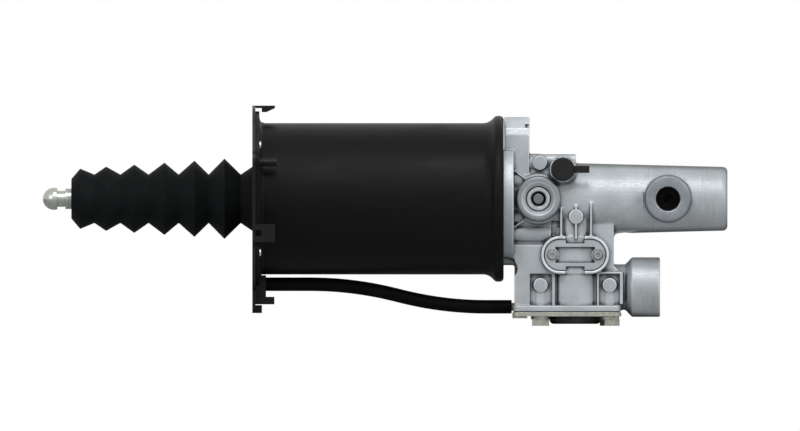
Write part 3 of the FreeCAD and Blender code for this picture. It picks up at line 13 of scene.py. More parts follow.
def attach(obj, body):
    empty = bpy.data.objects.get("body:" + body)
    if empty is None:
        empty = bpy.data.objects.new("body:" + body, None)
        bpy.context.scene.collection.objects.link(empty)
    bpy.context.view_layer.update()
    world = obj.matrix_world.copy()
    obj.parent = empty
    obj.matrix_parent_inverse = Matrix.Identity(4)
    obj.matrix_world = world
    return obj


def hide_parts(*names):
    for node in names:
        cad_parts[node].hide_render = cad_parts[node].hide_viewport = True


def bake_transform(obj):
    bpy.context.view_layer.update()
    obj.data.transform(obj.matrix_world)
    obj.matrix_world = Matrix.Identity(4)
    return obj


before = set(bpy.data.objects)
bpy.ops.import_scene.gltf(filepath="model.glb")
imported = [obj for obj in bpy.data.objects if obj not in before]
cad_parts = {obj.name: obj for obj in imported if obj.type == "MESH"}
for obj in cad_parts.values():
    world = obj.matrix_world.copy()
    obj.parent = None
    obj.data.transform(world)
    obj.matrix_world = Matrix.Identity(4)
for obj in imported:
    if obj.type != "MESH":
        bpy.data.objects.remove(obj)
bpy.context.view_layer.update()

logging.basicConfig(level=logging.INFO, format="%(message)s")
log = logging.getLogger("clutch_servo")

# One millimetre in metres, the gaps that are merged, and the turn from X to the front
MM = 0.001
MERGE_GAP = 1e-6
CAD_MERGE_GAP = 2e-6
TO_FRONT = Matrix.Rotation(-math.pi / 2, 3, "Z")
# Sockets of a mix node that hold colours
MIX_FIRST, MIX_SECOND, MIX_RESULT = 6, 7, 2
# Centre-lines and faces of the casting in millimetres
PORT_X, PORT_FACE_Y = 288.8, -32.0
BOSS_X, BOSS_FACE_Y = 198.1, -31.0
RELAY_X = 223.8
AIR_FACE_X, AIR_Z = 283.2, -61.8

Socket = bpy.types.NodeSocket
Material = bpy.types.Material
Object = bpy.types.Object
Shade = tuple[float, float, float]
Place = tuple[float, float, float]
Station = tuple[float, float]
Value = Socket | float | Shade


def shade(red: int, green: int, blue: int) -> Shade:
    """Turns a screen colour into the linear colour that the shaders take.

    Args:
        red: Red from 0 to 255.
        green: Green from 0 to 255.
        blue: Blue from 0 to 255.

    Returns:
        The linear colour, each part from 0 to 1.
    """
    parts = [value / 255 for value in (red, green, blue)]
    return tuple(v / 12.92 if v <= 0.04045 else ((v + 0.055) / 1.055) ** 2.4 for v in parts)


class Body(Enum):
    """Moving bodies of the servo."""

    HOUSING = "servo_body"
    PISTON = "piston"
    ROD = "push_rod"
    RELAY = "relay_piston"
    VALVE = "inlet_valve"


class Axis(Enum):
    """Directions that turned surfaces run round."""

    ALONG = "X"
    FRONT = "Y"
    UP = "Z"


class Bench:
    """Shader nodes of one material or world, added and joined in order."""

    def __init__(self, name: str, library: bpy.types.bpy_prop_collection | None = None) -> None:
        """Starts an empty material or world.

        Args:
            name: Its name.
            library: Where it is made, if not among the materials.
        """
        self.block = (bpy.data.materials if library is None else library).new(name)
        self.block.use_nodes = True
        self.tree = self.block.node_tree
        self.tree.nodes.clear()

    @cached_property
    def place(self) -> Socket:
        """The place on the object."""
        return self.add("ShaderNodeTexCoord").outputs["Object"]

    def add(self, kind: str, **settings: object) -> bpy.types.Node:
        """Adds a shader node.

        Args:
            kind: Type of the node.
            settings: Properties to set on it.

        Returns:
            The new node.
        """
        node = self.tree.nodes.new(kind)
        for key, value in settings.items():
            setattr(node, key, value)
        return node

    def feed(self, socket: Socket, value: Value) -> None:
        """Links a socket to another, or sets its constant.

        Args:
            socket: Input socket.
            value: Output socket, number or colour.
        """
        if isinstance(value, Socket):
            self.tree.links.new(value, socket)
        elif isinstance(value, tuple) and len(value) == 3 and socket.type == "RGBA":
            socket.default_value = (*value, 1)
        else:
            socket.default_value = value

    def calc(self, operation: str, first: Value, second: Value = 0.0) -> Socket:
        """Works out one number from two.

        Args:
            operation: Name of the sum.
            first: First number or socket.
            second: Second number or socket.

        Returns:
            The result's socket.
        """
        node = self.add("ShaderNodeMath", operation=operation)
        self.feed(node.inputs[0], first)
        self.feed(node.inputs[1], second)
        return node.outputs[0]

    def split(self, vector: Socket) -> list[Socket]:
        """Gives the three parts of a vector."""
        node = self.add("ShaderNodeSeparateXYZ")
        self.feed(node.inputs[0], vector)
        return list(node.outputs)

    def stretched(self, x: float, y: float, z: float) -> Socket:
        """Scales the place along each axis, which draws a pattern out into streaks.

        Args:
            x: Factor along X.
            y: Factor along Y.
            z: Factor along Z.

        Returns:
            The scaled place.
        """
        node = self.add("ShaderNodeMapping")
        self.feed(node.inputs["Vector"], self.place)
        node.inputs["Scale"].default_value = (x, y, z)
        return node.outputs[0]

    def round_place(self, axis: Axis, centre: Place) -> Socket:
        """Gives the place as distance along and from an axis, for lathe marks.

        Args:
            axis: Direction of the axis.
            centre: A point on it.

        Returns:
            The place as (along, distance, 0).
        """
        shift = self.add("ShaderNodeVectorMath", operation="SUBTRACT")
        self.feed(shift.inputs[0], self.place)
        shift.inputs[1].default_value = centre
        parts = self.split(shift.outputs[0])
        order = {Axis.ALONG: (0, 1, 2), Axis.FRONT: (1, 0, 2), Axis.UP: (2, 0, 1)}[axis]
        along, across, other = [parts[i] for i in order]
        square = self.calc("ADD", self.calc("MULTIPLY", across, across), self.calc("MULTIPLY", other, other))
        result = self.add("ShaderNodeCombineXYZ")
        self.feed(result.inputs[0], along)
        self.feed(result.inputs[1], self.calc("SQRT", square))
        return result.outputs[0]

    def noise(self, size_mm: float, detail: float = 3.0, place: Socket | None = None,
              distortion: float = 0.0) -> Socket:
        """Adds a cloud pattern.

        Args:
            size_mm: Size of its spots.
            detail: Number of finer layers.
            place: Where it is read, if not the plain place.
            distortion: How far it is twisted.

        Returns:
            The pattern from 0 to 1.
        """
        node = self.add("ShaderNodeTexNoise")
        self.feed(node.inputs["Vector"], place or self.place)
        node.inputs["Scale"].default_value = 1000 / size_mm
        node.inputs["Detail"].default_value = detail
        node.inputs["Distortion"].default_value = distortion
        return node.outputs["Fac"]

    def pits(self, size_mm: float) -> Socket:
        """Adds a pattern of small cells.

        Args:
            size_mm: Size of a cell.

        Returns:
            The distance from each cell's middle.
        """
        node = self.add("ShaderNodeTexVoronoi")
        self.feed(node.inputs["Vector"], self.place)
        node.inputs["Scale"].default_value = 1000 / size_mm
        return node.outputs["Distance"]

    def ramp(self, value: Value, low: float, high: float, start: float = 0.0, end: float = 1.0) -> Socket:
        """Spreads a narrow range of a pattern over a wider one.

        Args:
            value: The pattern.
            low: Value that becomes start.
            high: Value that becomes end.
            start: Result at low.
            end: Result at high.

        Returns:
            The spread pattern.
        """
        node = self.add("ShaderNodeMapRange", interpolation_type="SMOOTHSTEP")
        self.feed(node.inputs["Value"], value)
        node.inputs["From Min"].default_value = low
        node.inputs["From Max"].default_value = high
        node.inputs["To Min"].default_value = start
        node.inputs["To Max"].default_value = end
        return node.outputs["Result"]

    def mix(self, share: Value, first: Value, second: Value) -> Socket:
        """Mixes two colours.

        Args:
            share: Share of the second, a number or socket.
            first: First colour.
            second: Second colour.

        Returns:
            The mixed colour.
        """
        node = self.add("ShaderNodeMix", data_type="RGBA")
        self.feed(node.inputs["Factor"], share)
        self.feed(node.inputs[MIX_FIRST], first)
        self.feed(node.inputs[MIX_SECOND], second)
        return node.outputs[MIX_RESULT]

    def tint(self, colour: Value, second: Value, pattern: Socket, strength: float) -> Socket:
        """Mixes a colour in where a pattern says.

        Args:
            colour: The colour so far.
            second: The colour mixed in.
            pattern: Where it is mixed in, from 0 to 1.
            strength: Share of it where the pattern is 1.

        Returns:
            The mixed colour.
        """
        return self.mix(self.calc("MULTIPLY", pattern, strength), colour, second)

    def crevice(self, reach_mm: float) -> Socket:
        """Finds corners and gaps where light hardly gets in.

        Args:
            reach_mm: How far walls shade each other.

        Returns:
            1 in the open and 0 deep in a gap.
        """
        node = self.add("ShaderNodeAmbientOcclusion", samples=8)
        node.inputs["Distance"].default_value = reach_mm * MM
        return node.outputs["AO"]

    def curve(self, low: float, high: float) -> Socket:
        """Finds bent places of a finely meshed surface, below 0.5 for hollows and above it for ridges.

        Args:
            low: Bend that gives nought.
            high: Bend that gives one.

        Returns:
            The share from 0 to 1.
        """
        return self.ramp(self.add("ShaderNodeNewGeometry").outputs["Pointiness"], low, high)

    def grazing(self, low: float, high: float) -> Socket:
        """Finds surface that is seen at a flat angle, where metal reflects its dark surroundings.

        Args:
            low: Turn away from the eye that gives nought.
            high: Turn that gives one.

        Returns:
            The share from 0 to 1.
        """
        return self.ramp(self.add("ShaderNodeLayerWeight").outputs["Facing"], low, high)

    def soft_edge(self, radius_mm: float) -> Socket:
        """Rounds the look of sharp edges.

        Args:
            radius_mm: Radius of the rounding.

        Returns:
            The rounded normal.
        """
        node = self.add("ShaderNodeBevel", samples=6)
        node.inputs["Radius"].default_value = radius_mm * MM
        return node.outputs[0]

    def streaks(self, start: float) -> Socket:
        """Draws faint lathe streaks round the X axis, from a place on to the right.

        Args:
            start: Where they begin along X, in metres.

        Returns:
            Their strength, from 0 to 0.3.
        """
        beyond = self.ramp(self.split(self.place)[0], start, start + 8 * MM)
        lines = self.ramp(self.noise(0.9, 2.0, self.stretched(1.0, 0.04, 0.04)), 0.5, 0.72)
        cloud = self.ramp(self.noise(11.0, 2.0), 0.40, 0.66)
        return self.calc("MULTIPLY", self.calc("MULTIPLY", lines, cloud), self.calc("MULTIPLY", beyond, 0.3))

    def bore_shade(self, axis: Axis, mouth: Place, radius: float, depth: float) -> Socket:
        """Marks the inside of a round hole, for the painted shade that darkens it.

        Args:
            axis: Direction of the hole.
            mouth: Middle of its mouth, in metres.
            radius: Its radius, in metres.
            depth: How deep it goes, in metres.

        Returns:
            One inside the hole and nought outside.
        """
        along, away, _ = self.split(self.round_place(axis, mouth))
        inside = self.ramp(along, 0.4 * MM, 2.6 * MM)
        before_end = self.ramp(along, depth, depth + MM, 1.0, 0.0)
        near = self.ramp(away, radius, radius + 0.3 * MM, 1.0, 0.0)
        return self.calc("MULTIPLY", self.calc("MULTIPLY", inside, before_end), near)

    def parting(self, width_mm: float) -> Socket:
        """Marks the thin line where the two halves of the die met, in the plane Y = 0.

        Args:
            width_mm: Width of the line.

        Returns:
            One on the line and nought beside it.
        """
        away = self.calc("ABSOLUTE", self.split(self.place)[1])
        return self.ramp(away, 0.0, width_mm * MM, 1.0, 0.0)

    def edge_wear_and_highlight(self, radius_mm: float) -> Socket:
        """Finds edges, where a coat rubs thin or where a painted highlight is laid.

        Args:
            radius_mm: Width of the rubbed band.

        Returns:
            0 on a flat and up to 1 along an edge.
        """
        turn = self.add("ShaderNodeVectorMath", operation="DOT_PRODUCT")
        self.feed(turn.inputs[0], self.soft_edge(radius_mm))
        self.feed(turn.inputs[1], self.add("ShaderNodeNewGeometry").outputs["Normal"])
        return self.ramp(turn.outputs["Value"], 0.985, 0.80)

    def bump(self, height: Socket, depth_mm: float, normal: Socket | None = None) -> Socket:
        """Turns a pattern into relief.

        Args:
            height: The pattern.
            depth_mm: Depth of its relief.
            normal: Normal that the relief starts from.

        Returns:
            The new normal.
        """
        node = self.add("ShaderNodeBump")
        node.inputs["Strength"].default_value = 1.0
        node.inputs["Distance"].default_value = depth_mm * MM
        self.feed(node.inputs["Height"], height)
        if normal is not None:
            self.feed(node.inputs["Normal"], normal)
        return node.outputs[0]

    def surface(self, colour: Value, roughness: Value, normal: Socket, **constants: float) -> Material:
        """Joins the surface shader to the material's output.

        Args:
            colour: Base colour.
            roughness: Roughness.
            normal: Normal.
            constants: Values of other sockets, with spaces in their names as underscores.

        Returns:
            The finished material.
        """
        shader = self.add("ShaderNodeBsdfPrincipled")
        self.feed(shader.inputs["Base Color"], colour)
        self.feed(shader.inputs["Roughness"], roughness)
        self.feed(shader.inputs["Normal"], normal)
        for key, value in constants.items():
            shader.inputs[key.replace("_", " ")].default_value = value
        self.feed(self.add("ShaderNodeOutputMaterial").inputs["Surface"], shader.outputs[0])
        return self.block


@dataclass(frozen=True)
class Finish:
    """What every finish has: a name, a slot name and its main colour."""

    name: str
    slot: str
    colour: Shade
    roughness: float = 0.5

    def times(self, factor: float) -> Shade:
        """Gives the main colour, brighter or darker by a factor."""
        return tuple(part * factor for part in self.colour)

    def build(self) -> Material:
        """Makes the material, which each kind of finish does in its own way."""
        raise NotImplementedError

    def material(self) -> Material:
        """Gives the material, made once."""
        return bpy.data.materials.get(self.name) or self.build()


@dataclass(frozen=True)
class CastMetal(Finish):
    """Die-cast aluminium with a blasted skin, turned streaks on its round ends, painted shade in its corners
    and pockets and painted highlights on its edges.
    """

    # Colour of the darker lathe streaks and of the painted shade in pockets
    dark_streak_and_shade: Shade = shade(62, 68, 74)
    # Colour of the painted shade lines in corners and of the painted dark reflection where the surface turns
    # away
    line: Shade = shade(26, 31, 37)
    # Colour of the bright specks and of the painted highlights on edges and ridges
    bright: Shade = shade(222, 228, 232)
    cloud_mm: float = 22.0
    grain_mm: float = 0.8
    ripple_mm: float = 2.6
    corner_mm: float = 3.6
    pocket_mm: float = 6.0
    edge_mm: float = 0.6
    parting_mm: float = 0.45
    metallic: float = 0.35
    turned_from: float = 0.262
    fine: bool = False
    # Colour of the painted shade inside the port's bore
    bore: Shade = shade(5, 6, 7)
    bore_centre: Place = (PORT_X * MM, PORT_FACE_Y * MM, 0.0)
    bore_radius: float = 0.0091
    bore_depth: float = 0.034

    def skin(self, bench: Bench, speck: Socket) -> Socket:
        """Colours the open surface with clouds, bright specks and lathe streaks.

        Args:
            bench: The material's nodes.
            speck: Pattern of the specks.

        Returns:
            The colour.
        """
        cloud = bench.ramp(bench.noise(self.cloud_mm, 4.0), 0.35, 0.68)
        colour = bench.mix(cloud, self.times(0.80), self.colour)
        colour = bench.tint(colour, self.bright, speck, 0.16)
        return bench.mix(bench.streaks(self.turned_from), colour, self.dark_streak_and_shade)

    def corners(self, bench: Bench, colour: Socket) -> Socket:
        """Adds painted highlights on ridges and edges, painted shade in pockets and corners, a painted dark
        reflection where the surface turns away, and painted shade in the bore.

        Args:
            bench: The material's nodes.
            colour: The colour so far.

        Returns:
            The colour.
        """
        # Painted highlights along edges and, on a fine mesh, on ridges
        colour = bench.tint(colour, self.bright, bench.edge_wear_and_highlight(self.edge_mm), 0.5)
        if self.fine:
            colour = bench.tint(colour, self.bright, bench.curve(0.512, 0.550), 0.9)
        # Painted shade in wide pockets, where the walls close in
        pocket_shade = bench.ramp(bench.crevice(self.pocket_mm), 0.62, 0.10)
        colour = bench.tint(colour, self.dark_streak_and_shade, pocket_shade, 0.14)
        # Painted shade lines along corners and, on a fine mesh, in hollows
        hollow_shade = bench.ramp(bench.crevice(self.corner_mm), 0.84, 0.60)
        if self.fine:
            hollow_shade = bench.calc("MAXIMUM", hollow_shade, bench.curve(0.490, 0.450))
        colour = bench.tint(colour, self.line, hollow_shade, 0.92)
        # Painted dark reflection where the surface turns away from the eye
        colour = bench.tint(colour, self.line, bench.grazing(0.40, 0.82), 0.88)
        # Painted shade inside the port's bore
        bore_shade = bench.bore_shade(Axis.FRONT, self.bore_centre, self.bore_radius, self.bore_depth)
        return bench.mix(bore_shade, colour, self.bore)

    def build(self) -> Material:
        """Makes the cast skin.

        Returns:
            The material.
        """
        bench = Bench(self.name)
        speck = bench.ramp(bench.noise(self.grain_mm, 2.0), 0.35, 0.72)
        colour = self.corners(bench, self.skin(bench, speck))
        rough = bench.ramp(speck, 0.0, 1.0, self.roughness + 0.08, self.roughness - 0.06)
        normal = bench.bump(bench.noise(self.ripple_mm, 3.0), 0.04, bench.soft_edge(self.edge_mm))
        normal = bench.bump(speck, 0.030, normal)
        normal = bench.bump(bench.parting(self.parting_mm), 0.12, normal)
        return bench.surface(colour, rough, normal, Metallic=self.metallic)


@dataclass(frozen=True)
class TurnedMetal(Finish):
    """Metal cut on a lathe, with fine rings round its axis and painted shade in its corners."""

    axis: Axis = Axis.ALONG
    centre: Place = (0.0, 0.0, 0.0)
    ring_mm: float = 0.35
    metallic: float = 1.0
    edge_mm: float = 0.25
    stain_mm: float = 9.0
    corner_mm: float = 2.5

    def build(self) -> Material:
        """Makes the turned surface.

        Returns:
            The material.
        """
        bench = Bench(self.name)
        rings = bench.noise(self.ring_mm, 3.0, bench.round_place(self.axis, self.centre))
        stain = bench.ramp(bench.noise(self.stain_mm, 4.0), 0.42, 0.70)
        dull = self.times(0.62)
        colour = bench.tint(self.colour, dull, stain, 0.45)
        colour = bench.mix(bench.ramp(rings, 0.4, 0.7, 0.0, 0.35), colour, dull)
        # Painted shade in corners
        corner_shade = bench.ramp(bench.crevice(self.corner_mm), 0.7, 0.15)
        colour = bench.tint(colour, self.times(0.1), corner_shade, 0.8)
        rough = bench.ramp(rings, 0.3, 0.7, self.roughness - 0.07, self.roughness + 0.1)
        normal = bench.bump(rings, 0.008, bench.soft_edge(self.edge_mm))
        return bench.surface(colour, rough, normal, Metallic=self.metallic)


@dataclass(frozen=True)
class PlatedSteel(Finish):
    """Zinc-plated steel with small crystals, dull patches and painted shade in its corners."""

    glint: Shade = shade(226, 226, 216)
    # Colour of the painted shade in corners
    painted_shade: Shade = shade(40, 40, 36)
    crystal_mm: float = 1.6
    patch_mm: float = 6.0
    grain_mm: float = 0.8
    corner_mm: float = 2.5
    edge_mm: float = 0.3

    def build(self) -> Material:
        """Makes the plated surface.

        Returns:
            The material.
        """
        bench = Bench(self.name)
        crystal = bench.ramp(bench.pits(self.crystal_mm), 0.1, 0.75)
        patch = bench.ramp(bench.noise(self.patch_mm, 4.0, distortion=0.6), 0.4, 0.7)
        colour = bench.tint(self.colour, self.times(0.6), patch, 0.5)
        colour = bench.tint(colour, self.glint, crystal, 0.18)
        # Painted shade in corners
        corner_shade = bench.ramp(bench.crevice(self.corner_mm), 0.7, 0.15)
        colour = bench.tint(colour, self.painted_shade, corner_shade, 0.8)
        rough = bench.ramp(patch, 0.0, 1.0, self.roughness - 0.06, self.roughness + 0.12)
        normal = bench.bump(bench.noise(self.grain_mm, 2.0), 0.012, bench.soft_edge(self.edge_mm))
        return bench.surface(colour, rough, normal, Metallic=0.9)


@dataclass(frozen=True)
class PaintedSteel(Finish):
    """Black paint on drawn sheet, with orange peel and rubbed edges."""

    worn: Shade = shade(40, 40, 39)
    haze_mm: float = 34.0
    dust_mm: float = 0.7
    peel_mm: float = 1.3
    draw_mm: float = 9.0
    wear_mm: float = 0.6
    edge_mm: float = 0.4

    def build(self) -> Material:
        """Makes the painted surface.

        Returns:
            The material.
        """
        bench = Bench(self.name)
        haze = bench.ramp(bench.noise(self.haze_mm, 4.0, bench.stretched(0.5, 1.0, 1.0)), 0.38, 0.7)
        dust = bench.ramp(bench.noise(self.dust_mm, 2.0), 0.55, 0.82)
        colour = bench.tint(self.colour, self.times(1.5), haze, 0.5)
        colour = bench.tint(colour, self.worn, dust, 0.10)
        colour = bench.tint(colour, self.worn, bench.edge_wear_and_highlight(self.wear_mm), 0.30)
        rough = bench.ramp(haze, 0.0, 1.0, self.roughness, self.roughness + 0.12)
        normal = bench.bump(bench.noise(self.peel_mm, 2.0), 0.010, bench.soft_edge(self.edge_mm))
        drawn = bench.noise(self.draw_mm, 2.0, bench.stretched(0.2, 1.0, 1.0))
        return bench.surface(colour, rough, bench.bump(drawn, 0.02, normal), Specular_IOR_Level=0.08)


@dataclass(frozen=True)
class Rubber(Finish):
    """Moulded rubber with a fine stipple, chalky where it creases, with painted shade down in its creases.
    """

    bloom: Shade = shade(24, 27, 28)
    stipple_mm: float = 0.55
    bloom_mm: float = 12.0
    ring_mm: float = 1.4
    crease_mm: float = 4.0
    wear_mm: float = 0.7
    edge_mm: float = 0.35

    def build(self) -> Material:
        """Makes the rubber.

        Returns:
            The material.
        """
        bench = Bench(self.name)
        bloom = bench.ramp(bench.noise(self.bloom_mm, 4.0), 0.42, 0.74)
        stipple = bench.noise(self.stipple_mm, 2.0)
        colour = bench.tint(self.colour, self.bloom, bloom, 0.30)
        colour = bench.tint(colour, self.bloom, bench.edge_wear_and_highlight(self.wear_mm), 0.35)
        # Painted shade down in the creases
        crease_shade = bench.ramp(bench.crevice(self.crease_mm), 0.7, 0.2)
        colour = bench.tint(colour, self.times(0.35), crease_shade, 0.5)
        rough = bench.ramp(stipple, 0.3, 0.7, self.roughness - 0.08, self.roughness + 0.08)
        rings = bench.noise(self.ring_mm, 1.0, bench.round_place(Axis.ALONG, (0.0, 0.0, 0.0)))
        normal = bench.bump(stipple, 0.014, bench.soft_edge(self.edge_mm))
        return bench.surface(colour, rough, bench.bump(rings, 0.006, normal), Specular_IOR_Level=0.04)


@dataclass(frozen=True)
class MouldedPlastic(Finish):
    """Glass-filled plastic with a spark-eroded texture and flow marks."""

    scuff: Shade = shade(52, 52, 52)
    flow_mm: float = 14.0
    grain_mm: float = 0.45
    wear_mm: float = 0.4
    edge_mm: float = 0.3

    def build(self) -> Material:
        """Makes the plastic.

        Returns:
            The material.
        """
        bench = Bench(self.name)
        flow = bench.ramp(bench.noise(self.flow_mm, 4.0, distortion=1.2), 0.4, 0.7)
        colour = bench.tint(self.colour, self.times(1.8), flow, 0.35)
        colour = bench.tint(colour, self.scuff, bench.edge_wear_and_highlight(self.wear_mm), 0.35)
        rough = bench.ramp(flow, 0.0, 1.0, self.roughness - 0.05, self.roughness + 0.08)
        normal = bench.bump(bench.noise(self.grain_mm, 2.0), 0.012, bench.soft_edge(self.edge_mm))
        return bench.surface(colour, rough, normal, Specular_IOR_Level=0.16)


@dataclass(frozen=True)
class FibreGasket(Finish):
    """Pressed fibre sheet."""

    fibre_mm: float = 0.9

    def build(self) -> Material:
        """Makes the fibre sheet.

        Returns:
            The material.
        """
        bench = Bench(self.name)
        fibre = bench.noise(self.fibre_mm, 3.0, bench.stretched(0.25, 1.0, 1.0))
        colour = bench.mix(bench.ramp(fibre, 0.35, 0.7), self.colour, self.times(1.6))
        return bench.surface(colour, self.roughness, bench.bump(fibre, 0.02))


BLACK_PAINT = PaintedSteel("black_paint", "black_steel", shade(13, 13, 13), 0.42)
CAST_SKIN = CastMetal("cast_skin", "cast_aluminium", shade(172, 178, 182), 0.42, fine=True)
PRESSED_CAST = CastMetal("piston_cast", "cast_aluminium", shade(150, 156, 160), 0.5, grain_mm=0.7)
ZINC = PlatedSteel("zinc_plate", "zinc_steel", shade(160, 162, 152), 0.34)
RIVET_ZINC = PlatedSteel("rivet_zinc", "zinc_steel", shade(205, 214, 224), 0.28)
PLATE_CAST = CastMetal("plate_skin", "cast_aluminium", shade(166, 172, 176), 0.42, edge_mm=0.35)
SCREW_METAL = TurnedMetal("screw_metal", "ground_steel", shade(158, 162, 166), 0.34, Axis.FRONT,
                          (RELAY_X * MM, 0.0, -0.0393), 0.5, 0.7)
ROD_METAL = TurnedMetal("rod_metal", "rod_steel", shade(176, 182, 174), 0.26)
PLUNGER_METAL = TurnedMetal("plunger_metal", "machined_aluminium", shade(188, 192, 195), 0.22)
SLEEVE_METAL = TurnedMetal("sleeve_metal", "ground_steel", shade(190, 194, 197), 0.26, Axis.FRONT,
                           (BOSS_X * MM, 0.0, 0.0), 0.3)
PIN_METAL = TurnedMetal("pin_metal", "ground_steel", shade(120, 124, 128), 0.3, Axis.FRONT,
                         (BOSS_X * MM, 0.0, 0.0), 0.6)
BLEED_METAL = TurnedMetal("bleed_metal", "zinc_steel", shade(178, 178, 166), 0.32, Axis.FRONT,
                          (0.2151, 0.0, 0.0206), 0.3)
RELAY_METAL = TurnedMetal("relay_metal", "machined_aluminium", shade(186, 190, 193), 0.25, Axis.UP,
                          (RELAY_X * MM, 0.0, 0.0), 0.3)
PORT_FACE = TurnedMetal("port_face", "machined_aluminium", shade(138, 144, 149), 0.36, Axis.FRONT,
                        (PORT_X * MM, 0.0, 0.0), 0.4, 0.75)
BOSS_FACE = TurnedMetal("boss_face", "machined_aluminium", shade(140, 146, 150), 0.40, Axis.FRONT,
                        (BOSS_X * MM, 0.0, 0.0), 0.4, 0.75)
AIR_FACE = TurnedMetal("air_face", "machined_aluminium", shade(158, 164, 169), 0.34, Axis.ALONG,
                       (0.0, 0.0, AIR_Z * MM), 0.4, 0.75)
BRONZE = TurnedMetal("bronze_bush", "bronze", shade(176, 134, 84), 0.32)
SPRING_STEEL = TurnedMetal("spring_wire", "spring_steel", shade(92, 94, 98), 0.34, ring_mm=1.2)
CLIP_STEEL = TurnedMetal("clip_steel", "spring_steel", shade(158, 164, 168), 0.40, ring_mm=1.0)
PLASTIC = MouldedPlastic("plastic_skin", "black_plastic", shade(15, 15, 15), 0.42)
BOOT_RUBBER = Rubber("boot_skin", "boot_rubber", shade(18, 20, 21), 0.62)
HOSE_RUBBER = Rubber("hose_skin", "boot_rubber", shade(10, 11, 12), 0.50, stipple_mm=0.8)
CAP_RUBBER = Rubber("cap_skin", "cap_rubber", shade(42, 40, 40), 0.60)
VENT_RUBBER = Rubber("vent_skin", "cap_rubber", shade(60, 58, 59), 0.34, shade(104, 102, 103))
SEAL_RUBBER = Rubber("seal_skin", "seal_rubber", shade(22, 22, 23), 0.40)
GUIDE = MouldedPlastic("guide_skin", "guide_plastic", shade(196, 188, 168), 0.45, shade(220, 214, 200))
GASKET = FibreGasket("fibre_gasket", "gasket", shade(70, 82, 78), 0.85)

NODE_FINISHES: dict[str, Finish] = {
    "mounting_flange": BLACK_PAINT,
    "cylinder_shell": BLACK_PAINT,
    "adapter_plate": PLASTIC,
    "adapter_rivets": RIVET_ZINC,
    "boot": BOOT_RUBBER,
    "push_rod": ROD_METAL,
    "rod_retainer": SPRING_STEEL,
    "servo_piston": PRESSED_CAST,
    "piston_seal": SEAL_RUBBER,
    "guide_ring": GUIDE,
    "hydraulic_plunger": PLUNGER_METAL,
    "preload_spring": SPRING_STEEL,
    "plunger_clip": SPRING_STEEL,
    "plunger_bush": BRONZE,
    "plunger_air_seal": SEAL_RUBBER,
    "plunger_spacer": GUIDE,
    "plunger_cup": SEAL_RUBBER,
    "housing_seal": SEAL_RUBBER,
    "housing": CAST_SKIN,
    "plug_sleeve": SLEEVE_METAL,
    "plug_pin": PIN_METAL,
    "bleed_screw": BLEED_METAL,
    "bleeder_cap": CAP_RUBBER,
    "port_seal": SEAL_RUBBER,
    "port_clip": CLIP_STEEL,
    "side_plate": PLATE_CAST,
    "side_plate_screws": SCREW_METAL,
    "relay_piston": RELAY_METAL,
    "relay_disc_seal": SEAL_RUBBER,
    "relay_stem_seal": SEAL_RUBBER,
    "relay_spring": SPRING_STEEL,
    "inlet_valve": RELAY_METAL,
    "valve_spring": SPRING_STEEL,
    "valve_insert": GUIDE,
    "insert_seal": SEAL_RUBBER,
    "cover_gasket": GASKET,
    "foot_cover": ZINC,
    "cover_bolts": ZINC,
    "vent_cap": VENT_RUBBER,
    "breather_hose": HOSE_RUBBER,
    "hose_nipples": GUIDE,
}


def apply_place() -> None:
    """Applies the place of the selected object to its points."""
    bpy.ops.object.transform_apply(location=True, rotation=True, scale=True)


class Shaper:
    """One new object, shaped by hand tools from a ring."""

    def __init__(self, name: str, start: Station, sides: int) -> None:
        """Adds a ring round the X axis.

        Args:
            name: Name of the piece.
            start: Place along X and radius in millimetres.
            sides: Number of points in the ring.
        """
        bpy.ops.object.select_all(action="DESELECT")
        bpy.ops.mesh.primitive_circle_add(
            vertices=sides, radius=start[1] * MM, fill_type="NOTHING",
            location=(start[0] * MM, 0, 0), rotation=(0, math.pi / 2, 0))
        self.object = bpy.context.object
        self.object.name = name
        self.at = start
        bpy.ops.object.mode_set(mode="EDIT")
        bpy.ops.mesh.select_all(action="SELECT")

    def draw_to(self, station: Station) -> None:
        """Extrudes the open ring to a new place and radius.

        Args:
            station: Place along X and radius in millimetres.
        """
        step = (station[0] - self.at[0]) * MM
        bpy.ops.mesh.extrude_region_move(TRANSFORM_OT_translate={"value": (step, 0, 0)})
        factor = station[1] / self.at[1]
        bpy.ops.transform.resize(value=(1, factor, factor), center_override=(station[0] * MM, 0, 0))
        self.at = station

    def follow(self, stations: list[Station]) -> None:
        """Extrudes the ring through several stations.

        Args:
            stations: Places and radii in millimetres.
        """
        for station in stations:
            self.draw_to(station)

    def place(self, turn: Matrix | None = None, move: Vector | None = None) -> Object:
        """Leaves edit mode, merges doubles, mends the normals and applies the place.

        Args:
            turn: Turn from the X axis to the piece's own.
            move: Where the axis ends up, in metres.

        Returns:
            The object, at the origin.
        """
        bpy.ops.mesh.select_all(action="SELECT")
        bpy.ops.mesh.remove_doubles(threshold=MERGE_GAP)
        bpy.ops.mesh.normals_make_consistent(inside=False)
        bpy.ops.object.mode_set(mode="OBJECT")
        apply_place()
        turned = (turn or Matrix.Identity(3)).to_4x4()
        self.object.matrix_world = Matrix.Translation(move or Vector()) @ turned
        apply_place()
        return self.object


def only(piece: Object) -> None:
    """Makes one object the selected and active one.

    Args:
        piece: The object.
    """
    bpy.ops.object.select_all(action="DESELECT")
    piece.select_set(True)
    bpy.context.view_layer.objects.active = piece


def apply_modifier(piece: Object, kind: str, **settings: object) -> None:
    """Adds a modifier with its settings and applies it.

    Args:
        piece: The object.
        kind: Type of the modifier.
        settings: Properties of the modifier.
    """
    only(piece)
    modifier = piece.modifiers.new(kind.lower(), kind)
    for key, value in settings.items():
        setattr(modifier, key, value)
    bpy.ops.object.modifier_apply(modifier=modifier.name)


